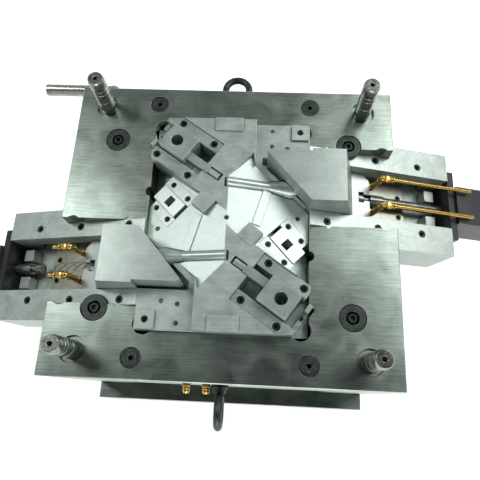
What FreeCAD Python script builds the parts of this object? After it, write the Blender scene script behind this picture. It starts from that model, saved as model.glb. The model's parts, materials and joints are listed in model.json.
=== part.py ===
# Moving half of an injection mould with six side actions, as a parametric document.
# Millimetres, +Z up.  The origin is the middle of the clamp plate's bottom face.
# X runs across the two big slides, Y runs from front (-) to rear (+).
# The half is the same turned 180 degrees about Z, apart from the hydraulic hook-up and the pipe.
import FreeCAD, Part
import os
import re
import Sketcher

doc = FreeCAD.newDocument("mould_half")

# --------------------------------------------------------------------------- driving sizes
SIZES = {
    # plates
    "plate_width": 600, "plate_length": 550, "core_plate_height": 130, "support_plate_height": 60,
    "spacer_height": 170, "spacer_width": 95, "clamp_plate_height": 40, "clamp_flange": 35,
    "plate_chamfer": 1.5, "knockout_dia": 50,
    # clearances
    "fit_gap": 0.15, "run_gap": 0.3, "head_room": 1, "seat_gap": 0.5, "drill_over": 3,
    # core insert
    "insert_width": 290, "insert_length": 390, "insert_depth": 95, "low_floor_rise": 8,
    "relief_radius": 18, "relief_inset_x": 14, "relief_inset_y": 11,
    "step_x": 44, "step_y": 105, "step_edge_y": 28, "fold_x": 57, "fold_y": 51, "fold_edge_y": 115,
    "ridge_x": 20, "ridge_y": 30, "crest_front": 80, "crest_rear": 12, "plateau_x": 42, "plateau_y": 126,
    "boss_edge_x": 18.5, "boss_edge_y": 17, "boss_side": 31, "boss_rise": 5, "boss_hole_dia": 12,
    "boss_hole_depth": 25, "lock_length": 51, "lock_width": 26, "lock_offset": 4.5, "lock_rise": 4,
    "cube_x": 42, "cube_y": 29, "cube_side": 31, "cube_yaw": -40, "cube_rise": 1,
    "rib_x": 63, "rib_y": 29, "rib_length": 76, "rib_width": 15, "rib_yaw": -106, "rib_rise": 2,
    "side_relief_radius": 9, "side_relief_y": 56, "insert_screw_dia": 12, "insert_screw_x": 120,
    "insert_screw_y": 110, "insert_screw_length": 50,
    # guide pillars, support pads
    "pillar_edge_x": 56, "pillar_edge_y": 44, "pillar_dia": 30, "pillar_reach": 90, "pillar_head_dia": 36,
    "pillar_head_height": 8, "pillar_recess_dia": 46, "pillar_recess_depth": 6, "pillar_tip": 4,
    "pillar_centre_dia": 9, "pad_edge_x": 82.5, "pad_off_y": 6, "pad_dia": 45, "pad_height": 12,
    "pad_rim": 1, "pad_floor": 1.6, "pad_sink_dia": 22, "pad_screw_dia": 10, "pad_screw_length": 30,
    # rails of the big slides
    "rail_slope": 15, "slot_width": 154, "rail_drop": 33.2, "gib_width": 28, "gib_height": 58,
    "gib_lip": 8, "gib_lip_height": 35, "gib_outer": 93, "gib_end_radius": 9, "gib_screw_dia": 8,
    "gib_screw_inset": 9, "gib_screw_length": 70, "gib_screw_end": 32.4678, "gib_screw_middle": 29,
    "gib_screw_outer": 60, "notch_radius": 13,
    "wear_thickness": 8, "wear_end_gap": 1.8611, "wear_outer": 55, "wear_screw_dia": 6,
    "wear_screw_x": 44, "wear_screw_y": 20, "groove_radius": 38, "groove_width": 2.5,
    "groove_pitch": 17, "groove_depth": 1,
    "stop_x": 104, "stop_spread": 54, "stop_length": 20, "stop_width": 22, "stop_height": 24,
    # big slides
    "slide_top": 52, "slide_rear": 204, "slide_heel": 229, "slide_tail": 31, "tail_depth": 24,
    "slide_front": 67, "slide_corner": 144, "slide_tip_y": 40, "slide_step": 5, "front_depth": 45,
    "tail_corner": 14, "slide_chamfer": 1.5, "foot_height": 14.5, "pocket_gap": 9,
    "pin_depth": 19, "pin_dia": 17.5, "pin_tip_x": 4, "pin_offset": 9.4, "pin_root_dia": 34,
    "pin_root_start": 172, "pin_root_flat": 195, "pin_root_end": 232, "pin_shank_dia": 22,
    "pin_shank_length": 38, "tee_width": 20, "tee_length": 10, "tee_inset": 12,
    "neck_dia": 12, "rod_depth": 34, "rod_dia": 18, "rod_end_dia": 22, "rod_end_length": 28,
    "rod_free": 66,
    # brackets and cylinders
    "bracket_width": 208, "bracket_reach": 125, "bracket_depth": 88, "foot_thick": 25, "foot_drop": 188,
    "foot_screw_dia": 12, "foot_screw_y": 82, "foot_screw_length": 50, "foot_screw_drop": 162,
    "rib_plate": 16, "rib_plate_y": 50,
    "mount_thick": 14, "mount_width": 140, "cylinder_side": 76, "cylinder_length": 196,
    "cylinder_screw_dia": 10, "cylinder_screw_length": 35, "cylinder_screw_y": 60,
    "cylinder_screw_z": 14, "piston_dia": 50,
    "piston_thick": 20, "port_dia": 16, "cylinder_head": 26,
    # brass cooling fittings on the big slides
    "fitting_spread": 52, "fitting_depth": 31, "fitting_rise": 44, "fitting_dia": 10, "fitting_hex": 13,
    "fitting_hex_length": 22, "fitting_stand": 8, "nozzle_dia": 8, "nozzle_length": 14, "tube_dia": 6.5,
    "tube_length": 165,
    # corner slides
    "corner_inset_x": 145, "corner_inset_y": 195,
    "corner_yaw": -34.5, "corner_n": 61, "corner_front": 126, "corner_rear": 184, "corner_width": 48.5,
    "corner_top": 41, "corner_wing": 7, "corner_wing_height": 14, "corner_wing_step": 8, "corner_floor": 20,
    "corner_channel_rear": 212, "corner_channel_front": 90, "corner_bore_dia": 22,
    "corner_bore_u": 158.8, "corner_bore_tilt": 12, "corner_gib_width": 23, "corner_gib_top": 25,
    "corner_gib_rear": 207, "corner_screw_dia": 8, "corner_screw_rear": 178, "corner_screw_front": 106,
    "corner_bar_n": 53, "corner_bar_width": 15, "corner_bar_top": 30, "corner_bar_height": 16,
    "corner_bar_end": 80, "corner_core_end": 58, "corner_core_dia": 14.5, "corner_slot_end": 54.5,
    "corner_stop_u": 203, "corner_stop_thick": 8, "corner_stop_height": 34,
    # small slides
    "small_inset_x": 145, "small_inset_y": 195, "small_yaw": -44.5, "small_n": 50.5,
    "small_rear": 136, "small_front": 76, "small_width": 31,
    "small_wing": 5, "small_wing_height": 10, "small_depth": 30, "small_slot_end": 73,
    "small_proud": 2, "small_cam_length": 14.5, "small_cam_front": 97, "small_cam_width": 18,
    "small_gib_width": 20, "small_gib_rear": 139, "small_gib_front": 70, "small_screw_dia": 6,
    "small_screw_rear": 124, "small_screw_front": 82,
    # ejector set
    "ejector_gap": 7, "ejector_margin": 5, "retainer_height": 25, "ejector_base_height": 35,
    "button_height": 10, "button_dia": 30, "button_x": 110, "button_y": 200, "ejector_pin_dia": 8,
    "ejector_head_dia": 14, "ejector_head_height": 6,
    "return_edge_x": 52.5, "return_edge_y": 30, "return_dia": 35, "return_head_dia": 42,
    "return_head_height": 8,
    "guide_dia": 25, "guide_edge": 33, "guide_y": 120, "bush_dia": 36, "bush_flange_dia": 42,
    "bush_flange_height": 6, "guide_socket": 20,
    "strut_dia": 50, "strut_x": 50, "strut_y": 90, "strut_room": 2, "strut_screw_dia": 10,
    "spring_dia": 58, "spring_wire": 7, "spring_pocket": 40, "spring_turns": 7, "plate_screw_dia": 10,
    "plate_screw_edge": 28, "plate_screw_grip": 8, "plate_screw_y": 200,
    # hardware on the outside
    "clamp_screw_dia": 16, "clamp_screw_edge": 48, "clamp_screw_inner_y": 100, "clamp_screw_end": 85,
    "clamp_screw_grip": 32, "eye_ring_dia": 63, "eye_hole_dia": 35, "eye_collar_dia": 30,
    "eye_collar_height": 14, "eye_thread_dia": 16, "eye_thread_length": 27, "eye_drop": 60,
    "nipple_x": 58, "nipple_pitch": 34, "nipple_drop": 60, "nipple_dia": 12, "nipple_length": 16,
    "nipple_thread": 12, "nipple_bore_dia": 7, "nipple_step": 1, "nipple_barb": 0.8, "nipple_tip": 5,
    "pipe_dia": 24, "pipe_wall": 3, "pipe_drop": 62,
    "pipe_edge": 38, "pipe_stand": 34, "pipe_length": 143, "pipe_thread": 16,
}

dims = doc.addObject("Spreadsheet::Sheet", "dims")
for row, (alias, value) in enumerate(SIZES.items(), start=1):
    dims.set("A%d" % row, alias.replace("_", " "))
    dims.set("B%d" % row, str(value))
    dims.setAlias("B%d" % row, alias)
doc.recompute()

TOP = "(clamp_plate_height + spacer_height + support_plate_height + core_plate_height)"
CORE_BOTTOM = "(clamp_plate_height + spacer_height + support_plate_height)"
SPACER_TOP = "(clamp_plate_height + spacer_height)"
POCKET_FLOOR = "(%s - insert_depth)" % TOP


def bound(expression):
    """Write an expression on the sheet's aliases in full."""
    def full_name(match):
        word = match.group()
        return "dims." + word if word in SIZES else word
    return re.sub(r"[A-Za-z_]\w*", full_name, expression)


def value_of(expression):
    return float(dims.evalExpression(bound(expression)))


def pose(at=("0", "0", "0"), turn=("0", "0", "0")):
    """Placement expression from a point and yaw, pitch, roll."""
    return "placement(vector(%s; %s; %s); rotation(%s; %s; %s))" % (tuple(at) + tuple(turn))


def put(obj, *poses):
    obj.setExpression("Placement", bound(" * ".join(poses)))
    return obj


# turns that lay a Z axis along X or Y
ALONG_X = ("0", "90", "0")
ALONG_MINUS_X = ("0", "-90", "0")
ALONG_Y = ("0", "0", "-90")
ALONG_MINUS_Y = ("0", "0", "90")
LEVEL = ("0", "0", "0")
HERE = pose()


# --------------------------------------------------------------------------- building helpers
def block(name, size, at, frame=HERE, turn=LEVEL):
    """Box centred over the point `at`, which lies in its bottom face."""
    obj = doc.addObject("Part::Box", name)
    for prop, expression in zip(("Length", "Width", "Height"), size):
        obj.setExpression(prop, bound(expression))
    centred = pose(("-(%s)/2" % size[0], "-(%s)/2" % size[1], "0"))
    return put(obj, frame, pose(at, turn), centred)


def rod(name, radius, height, at, frame=HERE, turn=LEVEL):
    obj = doc.addObject("Part::Cylinder", name)
    obj.setExpression("Radius", bound(radius))
    obj.setExpression("Height", bound(height))
    return put(obj, frame, pose(at, turn))


def cone(name, radius_1, radius_2, height, at, frame=HERE, turn=LEVEL):
    obj = doc.addObject("Part::Cone", name)
    obj.setExpression("Radius1", bound(radius_1))
    obj.setExpression("Radius2", bound(radius_2))
    obj.setExpression("Height", bound(height))
    return put(obj, frame, pose(at, turn))


def ball(name, radius, at, frame=HERE):
    obj = doc.addObject("Part::Sphere", name)
    obj.setExpression("Radius", bound(radius))
    return put(obj, frame, pose(at))


def hexagon(name, across, height, at, frame=HERE, turn=LEVEL):
    obj = doc.addObject("Part::Prism", name)
    obj.Polygon = 6
    obj.setExpression("Circumradius", bound("(%s)/sqrt(3)" % across))
    obj.setExpression("Height", bound(height))
    return put(obj, frame, pose(at, turn))


def outline_sketch(body, name, points, role):
    """Closed polygon with every corner dimensioned from the origin."""
    sketch = body.newObject("Sketcher::SketchObject", name)
    plane = [feature for feature in body.Origin.OriginFeatures if feature.Role == role][0]
    sketch.AttachmentSupport = [(plane, "")]
    sketch.MapMode = "FlatFace"
    spots = [FreeCAD.Vector(value_of(px), value_of(py), 0) for px, py in points]
    count = len(points)
    for index in range(count):
        sketch.addGeometry(Part.LineSegment(spots[index], spots[(index + 1) % count]), False)
    for index in range(count):
        sketch.addConstraint(Sketcher.Constraint("Coincident", index, 2, (index + 1) % count, 1))
    for index, (px, py) in enumerate(points):
        for kind, spot, expression in (("DistanceX", spots[index].x, px), ("DistanceY", spots[index].y, py)):
            number = sketch.addConstraint(Sketcher.Constraint(kind, -1, 1, index, 1, spot))
            sketch.setExpression("Constraints[%d]" % number, bound(expression))
    return sketch


def prism(name, points, height, role="XY_Plane", frame=HERE, both_sides=False):
    """PartDesign body: a polygon padded by `height`, up or to both sides."""
    body = doc.addObject("PartDesign::Body", name)
    sketch = outline_sketch(body, name + "_outline", points, role)
    pad = body.newObject("PartDesign::Pad", name + "_pad")
    pad.Profile = sketch
    pad.setExpression("Length", bound(height))
    if both_sides:
        pad.SideType = "Symmetric"
    put(body, frame)
    return body


def turned(name, points, frame=HERE):
    """PartDesign body: a half section (radius, height) turned about Z."""
    body = doc.addObject("PartDesign::Body", name)
    sketch = outline_sketch(body, name + "_section", points, "XZ_Plane")
    spin = body.newObject("PartDesign::Revolution", name + "_turning")
    spin.Profile = sketch
    spin.ReferenceAxis = (sketch, ["V_Axis"])
    spin.Angle = 360
    put(body, frame)
    return body


def fuse(name, parts):
    obj = doc.addObject("Part::MultiFuse", name)
    obj.Shapes = parts
    return obj


def cut(name, base, tools, frame=None):
    """Base less its tools; a frame, where given, places the result."""
    obj = doc.addObject("Part::Cut", name)
    obj.Base = base
    obj.Tool = tools[0] if len(tools) == 1 else fuse(name + "_tools", tools)
    if frame:
        put(obj, frame)
    return obj


def common(name, one, other):
    obj = doc.addObject("Part::Common", name)
    obj.Base = one
    obj.Tool = other
    return obj


def copies(name, master, poses):
    """Separate solids of one master, each at its own pose, as one node."""
    links = []
    for number, spot in enumerate(poses, start=1):
        link = doc.addObject("App::Link", "%s_%d" % (name, number))
        link.LinkedObject = master
        put(link, *spot)
        links.append(link)
    group = doc.addObject("Part::Compound", name)
    group.Links = links
    return group


def socket_screw(name, dia, length):
    """Hexagon socket head cap screw, head bottom at Z 0 and shank down -Z."""
    head = rod(name + "_head", "0.75*%s + 0.3" % dia, dia, ("0", "0", "0"))
    shank = rod(name + "_shank", "%s/2" % dia, length, ("0", "0", "-(%s)" % length))
    whole = fuse(name + "_blank", [head, shank])
    socket = hexagon(name + "_socket", "0.8*%s" % dia, "%s" % dia, ("0", "0", "0.45*%s" % dia))
    return cut(name, whole, [socket])


NODES = []


def node(obj, label):
    """Name a finished sub-part; its label names its file."""
    obj.Label = label
    NODES.append(obj)
    return obj


def group(label, members):
    """Like pieces as separate solids of one node."""
    together = doc.addObject("Part::Compound", label)
    together.Links = members
    return node(together, label)


# --------------------------------------------------------------------------- frames
SIDES = {"left": "0", "right": "180"}


def level_frame(side):
    """Parting-plane frame of a side: -X points out of that side."""
    return pose(("0", "0", TOP), (SIDES[side], "0", "0"))


def rail_frame(side):
    """On the gib tops where they leave the plate, x up the slope towards the middle."""
    start = pose(("-plate_width/2", "-slot_width/2", "-rail_drop"), ("0", "-rail_slope", "0"))
    return level_frame(side) + " * " + start


def facet_frame(side):
    """On the sloping parting face of a side, which the core pin's axis lies in."""
    return level_frame(side) + " * " + pose(("0", "0", CREST), ("0", "-rail_slope", "0"))


def corner_frame(side):
    """x along the corner slide towards the middle, at the parting plane, kept with the pocket's corner."""
    start = ("corner_inset_x - %s" % INSERT_EDGE, "insert_length/2 - corner_inset_y", "0")
    return level_frame(side) + " * " + pose(start, ("corner_yaw", "0", "0"))


def small_frame(side):
    """x along the small slide towards the middle, in the sloping face, kept with the pocket's corner."""
    start = ("(small_inset_x - %s)/cos(rail_slope)" % INSERT_EDGE, "insert_length/2 - small_inset_y", "0")
    return facet_frame(side) + " * " + pose(start, ("small_yaw", "0", "0"))


def rail_z(x, depth):
    """Height, from the parting plane, of a line below the gib tops at -X `x`."""
    return "(-rail_drop + tan(rail_slope)*(plate_width/2 - (%s)) - (%s)/cos(rail_slope))" % (x, depth)


def rail_point(x, z):
    """A rail-frame point, as X and Z from the parting plane."""
    return ("(-plate_width/2 + (%s)*cos(rail_slope) - (%s)*sin(rail_slope))" % (x, z),
            "(-rail_drop + (%s)*sin(rail_slope) + (%s)*cos(rail_slope))" % (x, z))


CREST = "(tan(rail_slope)*plate_width/2 - rail_drop - pin_depth/cos(rail_slope))"
SLIDE_Y = "(-slot_width/2)"
PIN_Y = "(-slot_width/2 + pin_offset)"
CHANNEL_HALF = "(slot_width/2 - gib_width)"
SLIDE_HALF = "(slot_width/2 - gib_width - run_gap)"
FOOT_HALF = "(slot_width/2 - gib_width + gib_lip - run_gap)"
RAIL_FLOOR = "(gib_height - wear_thickness)"
INSERT_EDGE = "(insert_width/2)"
SHOULDER = "((plate_width - insert_width)/2)"
WEAR_INNER = "((%s - gib_height*sin(rail_slope) - wear_end_gap)/cos(rail_slope))" % SHOULDER
GIB_SCREW_INNER = "(%s/cos(rail_slope) - gib_screw_end)" % SHOULDER
EJECTOR_EDGE = "(plate_width/2 - spacer_width - ejector_gap)"
EJECTOR_LENGTH = "(plate_length - 2*ejector_margin)"
PILLAR_SPOT = ("plate_width/2 - pillar_edge_x", "plate_length/2 - pillar_edge_y")
PAD_SPOT = ("plate_width/2 - pad_edge_x", "slot_width + pad_off_y")
RETURN_SPOT = ("%s - return_edge_x" % EJECTOR_EDGE, "plate_length/2 - ejector_margin - return_edge_y")
GUIDE_SPOT = ("%s - guide_edge" % EJECTOR_EDGE, "guide_y")
PLATE_SCREW_SPOT = ("%s - plate_screw_edge" % EJECTOR_EDGE, "plate_screw_y")
PIPE_X = "(-(plate_width/2 - pipe_edge))"
BOSS_SPOT = ("%s - boss_edge_x" % INSERT_EDGE, "insert_length/2 - boss_edge_y")
TEE_FLOOR = "(-rod_depth - tee_width/2 - 2*run_gap)"
PIN_TIP = "((plate_width/2 + pin_tip_x - pin_depth*sin(rail_slope))/cos(rail_slope))"
OUTER_GIB_SCREW_Y = "(slot_width/2 - gib_screw_inset)"


def four(x, y):
    """The points at plus and minus x and y."""
    return [("%s(%s)" % (sx, x), "%s(%s)" % (sy, y)) for sx in ("", "-") for sy in ("", "-")]


def opposite(x, y):
    """A point and the point across the centre."""
    return [(x, y), ("-(%s)" % x, "-(%s)" % y)]


def screw_set(label, dia, length, spots, room="40"):
    """Screws at their spots as one node, and the stepped holes that take them."""
    screw = socket_screw(label + "_one", dia, length)
    node(copies(label, screw, spots), label)
    shank = rod(label + "_hole_shank", "%s/2 + fit_gap" % dia, "%s + drill_over" % length,
                ("0", "0", "-(%s) - drill_over" % length))
    head = rod(label + "_hole_head", "0.75*%s + head_room" % dia, "%s + %s" % (room, dia), ("0", "0", "0"))
    hole = fuse(label + "_hole_one", [shank, head])
    return copies(label + "_holes", hole, spots)


def at(frame, x, y, z, turn=LEVEL):
    return (frame, pose((x, y, z), turn))


# --------------------------------------------------------------------------- fasteners and their holes
gib_spots = []
wear_spots = []
foot_spots = []
cylinder_spots = []
for side in SIDES:
    rail = rail_frame(side)
    level = level_frame(side)
    for x in (GIB_SCREW_INNER, "gib_screw_middle", "-gib_screw_outer"):
        for sign in ("", "-"):
            gib_spots.append(at(rail, x, sign + OUTER_GIB_SCREW_Y, "-gib_screw_dia - 1"))
    for x in ("-wear_screw_x", WEAR_INNER + " - wear_screw_y"):
        for sign in ("", "-"):
            wear_spots.append(at(rail, x, sign + "wear_screw_y", "-(%s) - wear_screw_dia" % RAIL_FLOOR))
    for y in ("foot_screw_y", "-foot_screw_y", "foot_screw_y/3", "-foot_screw_y/3"):
        start = ("-plate_width/2 - foot_thick + foot_screw_dia", "%s + %s" % (SLIDE_Y, y), "-foot_screw_drop")
        foot_spots.append((level, pose(start, ALONG_MINUS_X)))
    for y, z in four("cylinder_screw_y", "cylinder_screw_z"):
        start = ("-bracket_reach - mount_thick + cylinder_screw_dia", y, "-bracket_depth/2 + %s" % z)
        cylinder_spots.append((rail, pose(start, ALONG_MINUS_X)))
gib_holes = screw_set("gib_screws", "gib_screw_dia", "gib_screw_length", gib_spots)
wear_holes = screw_set("wear_plate_screws", "wear_screw_dia", "wear_thickness + wear_screw_dia",
                       wear_spots, "0")
foot_holes = screw_set("bracket_screws", "foot_screw_dia", "foot_screw_length", foot_spots)
cylinder_holes = screw_set("cylinder_screws", "cylinder_screw_dia", "cylinder_screw_length", cylinder_spots)

pad_spots = [at(HERE, x, y, "%s - pad_height + pad_floor" % TOP) for x, y in four(*PAD_SPOT)]
pad_holes = screw_set("support_disc_screws", "pad_screw_dia", "pad_screw_length", pad_spots)

insert_spots = []
for x, y in four("insert_screw_x", "insert_screw_y"):
    start = (x, y, "%s + insert_screw_dia + 4" % CORE_BOTTOM)
    insert_spots.append((pose(start, ("0", "180", "0")),))
insert_holes = screw_set("insert_screws", "insert_screw_dia", "insert_screw_length", insert_spots)

clamp_spots = []
CLAMP_LENGTH = "(%s + clamp_screw_grip - clamp_screw_dia - 2)" % CORE_BOTTOM
for y in ("clamp_screw_inner_y", "plate_length/2 - clamp_screw_end"):
    for px, py in four("plate_width/2 - clamp_screw_edge", y):
        clamp_spots.append((pose((px, py, "clamp_screw_dia + 2"), ("0", "180", "0")),))
clamp_holes = screw_set("clamp_screws", "clamp_screw_dia", CLAMP_LENGTH, clamp_spots)

# --------------------------------------------------------------------------- shared cutters
insert_pocket = block("insert_pocket", ("insert_width", "insert_length", "insert_depth + 30"),
                      ("0", "0", POCKET_FLOOR))
reliefs = [rod("relief_%d" % number, "relief_radius", "insert_depth + 30", (x, y, POCKET_FLOOR))
           for number, (x, y) in enumerate(four("%s - relief_inset_x" % INSERT_EDGE,
                                                "insert_length/2 - relief_inset_y"), start=1)]
for side in SIDES:
    start = ("-" + INSERT_EDGE, "side_relief_y", "-insert_depth")
    reliefs.append(rod("side_relief_" + side, "side_relief_radius", "insert_depth + 30", start,
                       level_frame(side)))

pillar_bores = []
pillar_recesses = []
return_bores = []
for number, (x, y) in enumerate(four(*PILLAR_SPOT), start=1):
    pillar_bores.append(rod("pillar_bore_%d" % number, "pillar_dia/2 + fit_gap", "core_plate_height + 2",
                            (x, y, CORE_BOTTOM + " - 1")))
    pillar_bores.append(rod("pillar_seat_%d" % number, "pillar_head_dia/2 + seat_gap",
                            "pillar_head_height", (x, y, CORE_BOTTOM)))
    pillar_recesses.append(rod("pillar_recess_%d" % number, "pillar_recess_dia/2",
                               "pillar_recess_depth + 1", (x, y, "%s - pillar_recess_depth" % TOP)))
for number, (x, y) in enumerate(four(*RETURN_SPOT), start=1):
    return_bores.append(rod("return_bore_%d" % number, "return_dia/2 + run_gap", "%s + 2" % TOP, (x, y, "0")))

pad_recesses = [rod("pad_recess_%d" % number, "pad_dia/2 + pad_rim", "pad_height + 60",
                    (x, y, "%s - pad_height" % TOP))
                for number, (x, y) in enumerate(four(*PAD_SPOT), start=1)]

# ejector pins stand under the low corners and the sloping faces
PIN_POINTS = [("75", "150"), ("75", "182"), ("103", "146"), ("125", "14")]
SPRUE_PIN = ("0", "0")
ejector_points = [SPRUE_PIN]
for px, py in PIN_POINTS:
    ejector_points += opposite(px, py)
ejector_bores = [rod("ejector_bore_%d" % number, "ejector_pin_dia/2 + run_gap", "%s + 60" % TOP,
                     (x, y, "clamp_plate_height + button_height + ejector_base_height"))
                 for number, (x, y) in enumerate(ejector_points, start=1)]

rail_slots = []
corner_slots = []
for side in SIDES:
    rail = rail_frame(side)
    length = "((plate_width - insert_width)/2 + 75)"
    rail_slots.append(block("rail_slot_" + side, (length, "slot_width", "200"),
                            (length + "/2 - 60", "0", "-gib_height"), rail))
    for x, place in (("gib_screw_middle", "middle"), (GIB_SCREW_INNER, "inner")):
        for sign, word in (("", "rear"), ("-", "front")):
            name = "notch_%s_%s_%s" % (side, place, word)
            rail_slots.append(rod(name, "notch_radius", "120", (x, sign + OUTER_GIB_SCREW_Y, "0"), rail))
    corner = corner_frame(side)
    length = "(corner_channel_rear - corner_channel_front)"
    middle = "-(corner_channel_rear + corner_channel_front)/2"
    corner_slots.append(block("corner_channel_" + side, (length, "corner_width + 2*run_gap + 3", "100"),
                              (middle, "corner_n", "-corner_floor"), corner))

# --------------------------------------------------------------------------- plates
eye_bores = []
nipple_bores = []
for word, sign in (("front", "-"), ("rear", "")):
    face = ("0", sign + "plate_length/2", "%s - eye_drop" % TOP)
    turn = ALONG_Y if word == "front" else ALONG_MINUS_Y
    eye_bores.append(rod("eye_hole_" + word, "eye_thread_dia/2 + fit_gap", "eye_thread_length + 3",
                         face, HERE, turn))
for number in (0, 1):
    start = ("-nipple_x + %d*nipple_pitch" % number, "-plate_length/2", "%s - nipple_drop" % TOP)
    nipple_bores.append(rod("nipple_hole_%d" % number, "nipple_dia/2 - 1 + fit_gap", "nipple_thread + 3",
                            start, HERE, ALONG_Y))
pipe_bore = rod("pipe_hole", "pipe_dia/2 - 2 + fit_gap", "pipe_thread + 3",
                (PIPE_X, "plate_length/2", "%s - pipe_drop" % TOP), HERE, ALONG_MINUS_Y)


def eased_block(name, blank, size):
    """A block with all twelve edges broken."""
    eased = doc.addObject("Part::Chamfer", name)
    eased.Base = blank
    doc.recompute()
    width = value_of(size)
    eased.Edges = [(number, width, width) for number in range(1, 13)]
    return eased


def plate(name, length, height, z):
    """A ground plate with its edges broken by a small chamfer."""
    blank = block(name + "_blank", ("plate_width", length, height), ("0", "0", z))
    return eased_block(name + "_edges", blank, "plate_chamfer")


core_blank = plate("core_plate_steel", "plate_length", "core_plate_height", CORE_BOTTOM)
node(cut("core_plate", core_blank,
         [insert_pocket] + reliefs + rail_slots + corner_slots + pillar_bores + pillar_recesses
         + return_bores + pad_recesses + eye_bores + nipple_bores
         + [pipe_bore, pad_holes, gib_holes, wear_holes, insert_holes, clamp_holes] + ejector_bores),
     "core_plate")

support_blank = plate("support_plate_steel", "plate_length", "support_plate_height", SPACER_TOP)
spring_pockets = [rod("spring_pocket_%d" % number, "spring_dia/2 + 2", "spring_pocket + 1",
                      (x, y, SPACER_TOP + " - 1"))
                  for number, (x, y) in enumerate(four(*RETURN_SPOT), start=1)]
guide_sockets = [rod("guide_socket_%d" % number, "guide_dia/2 + fit_gap", "guide_socket + 1",
                     (x, y, SPACER_TOP + " - 1"))
                 for number, (x, y) in enumerate(four(*GUIDE_SPOT), start=1)]
node(cut("support_plate", support_blank,
         spring_pockets + guide_sockets + return_bores + ejector_bores + [clamp_holes, foot_holes]),
     "support_plate")

spacers = []
for side, x in (("left", "-(plate_width - spacer_width)/2"), ("right", "(plate_width - spacer_width)/2")):
    spacer = block("spacer_blank_" + side, ("spacer_width", "plate_length", "spacer_height"),
                   (x, "0", "clamp_plate_height"))
    spacers.append(cut("spacer_block_" + side, spacer, [clamp_holes]))
group("spacer_blocks", spacers)

clamp_blank = plate("clamp_plate_steel", "plate_length + 2*clamp_flange", "clamp_plate_height", "0")
knockout = rod("knockout_bore", "knockout_dia/2", "clamp_plate_height + 2", ("0", "0", "-1"))
strut_bottom_screws = [at(HERE, x, y, "strut_screw_dia + 2", ("0", "180", "0"))
                       for x, y in four("strut_x", "strut_y")]
strut_holes = screw_set("strut_screws", "strut_screw_dia", "clamp_plate_height",
                        strut_bottom_screws)
guide_feet = [rod("guide_foot_%d" % number, "guide_dia/2 + fit_gap", "clamp_plate_height/2 + 1",
                  (x, y, "clamp_plate_height/2"))
              for number, (x, y) in enumerate(four(*GUIDE_SPOT), start=1)]
node(cut("clamp_plate", clamp_blank, [knockout, clamp_holes, strut_holes] + guide_feet), "clamp_plate")

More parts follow.
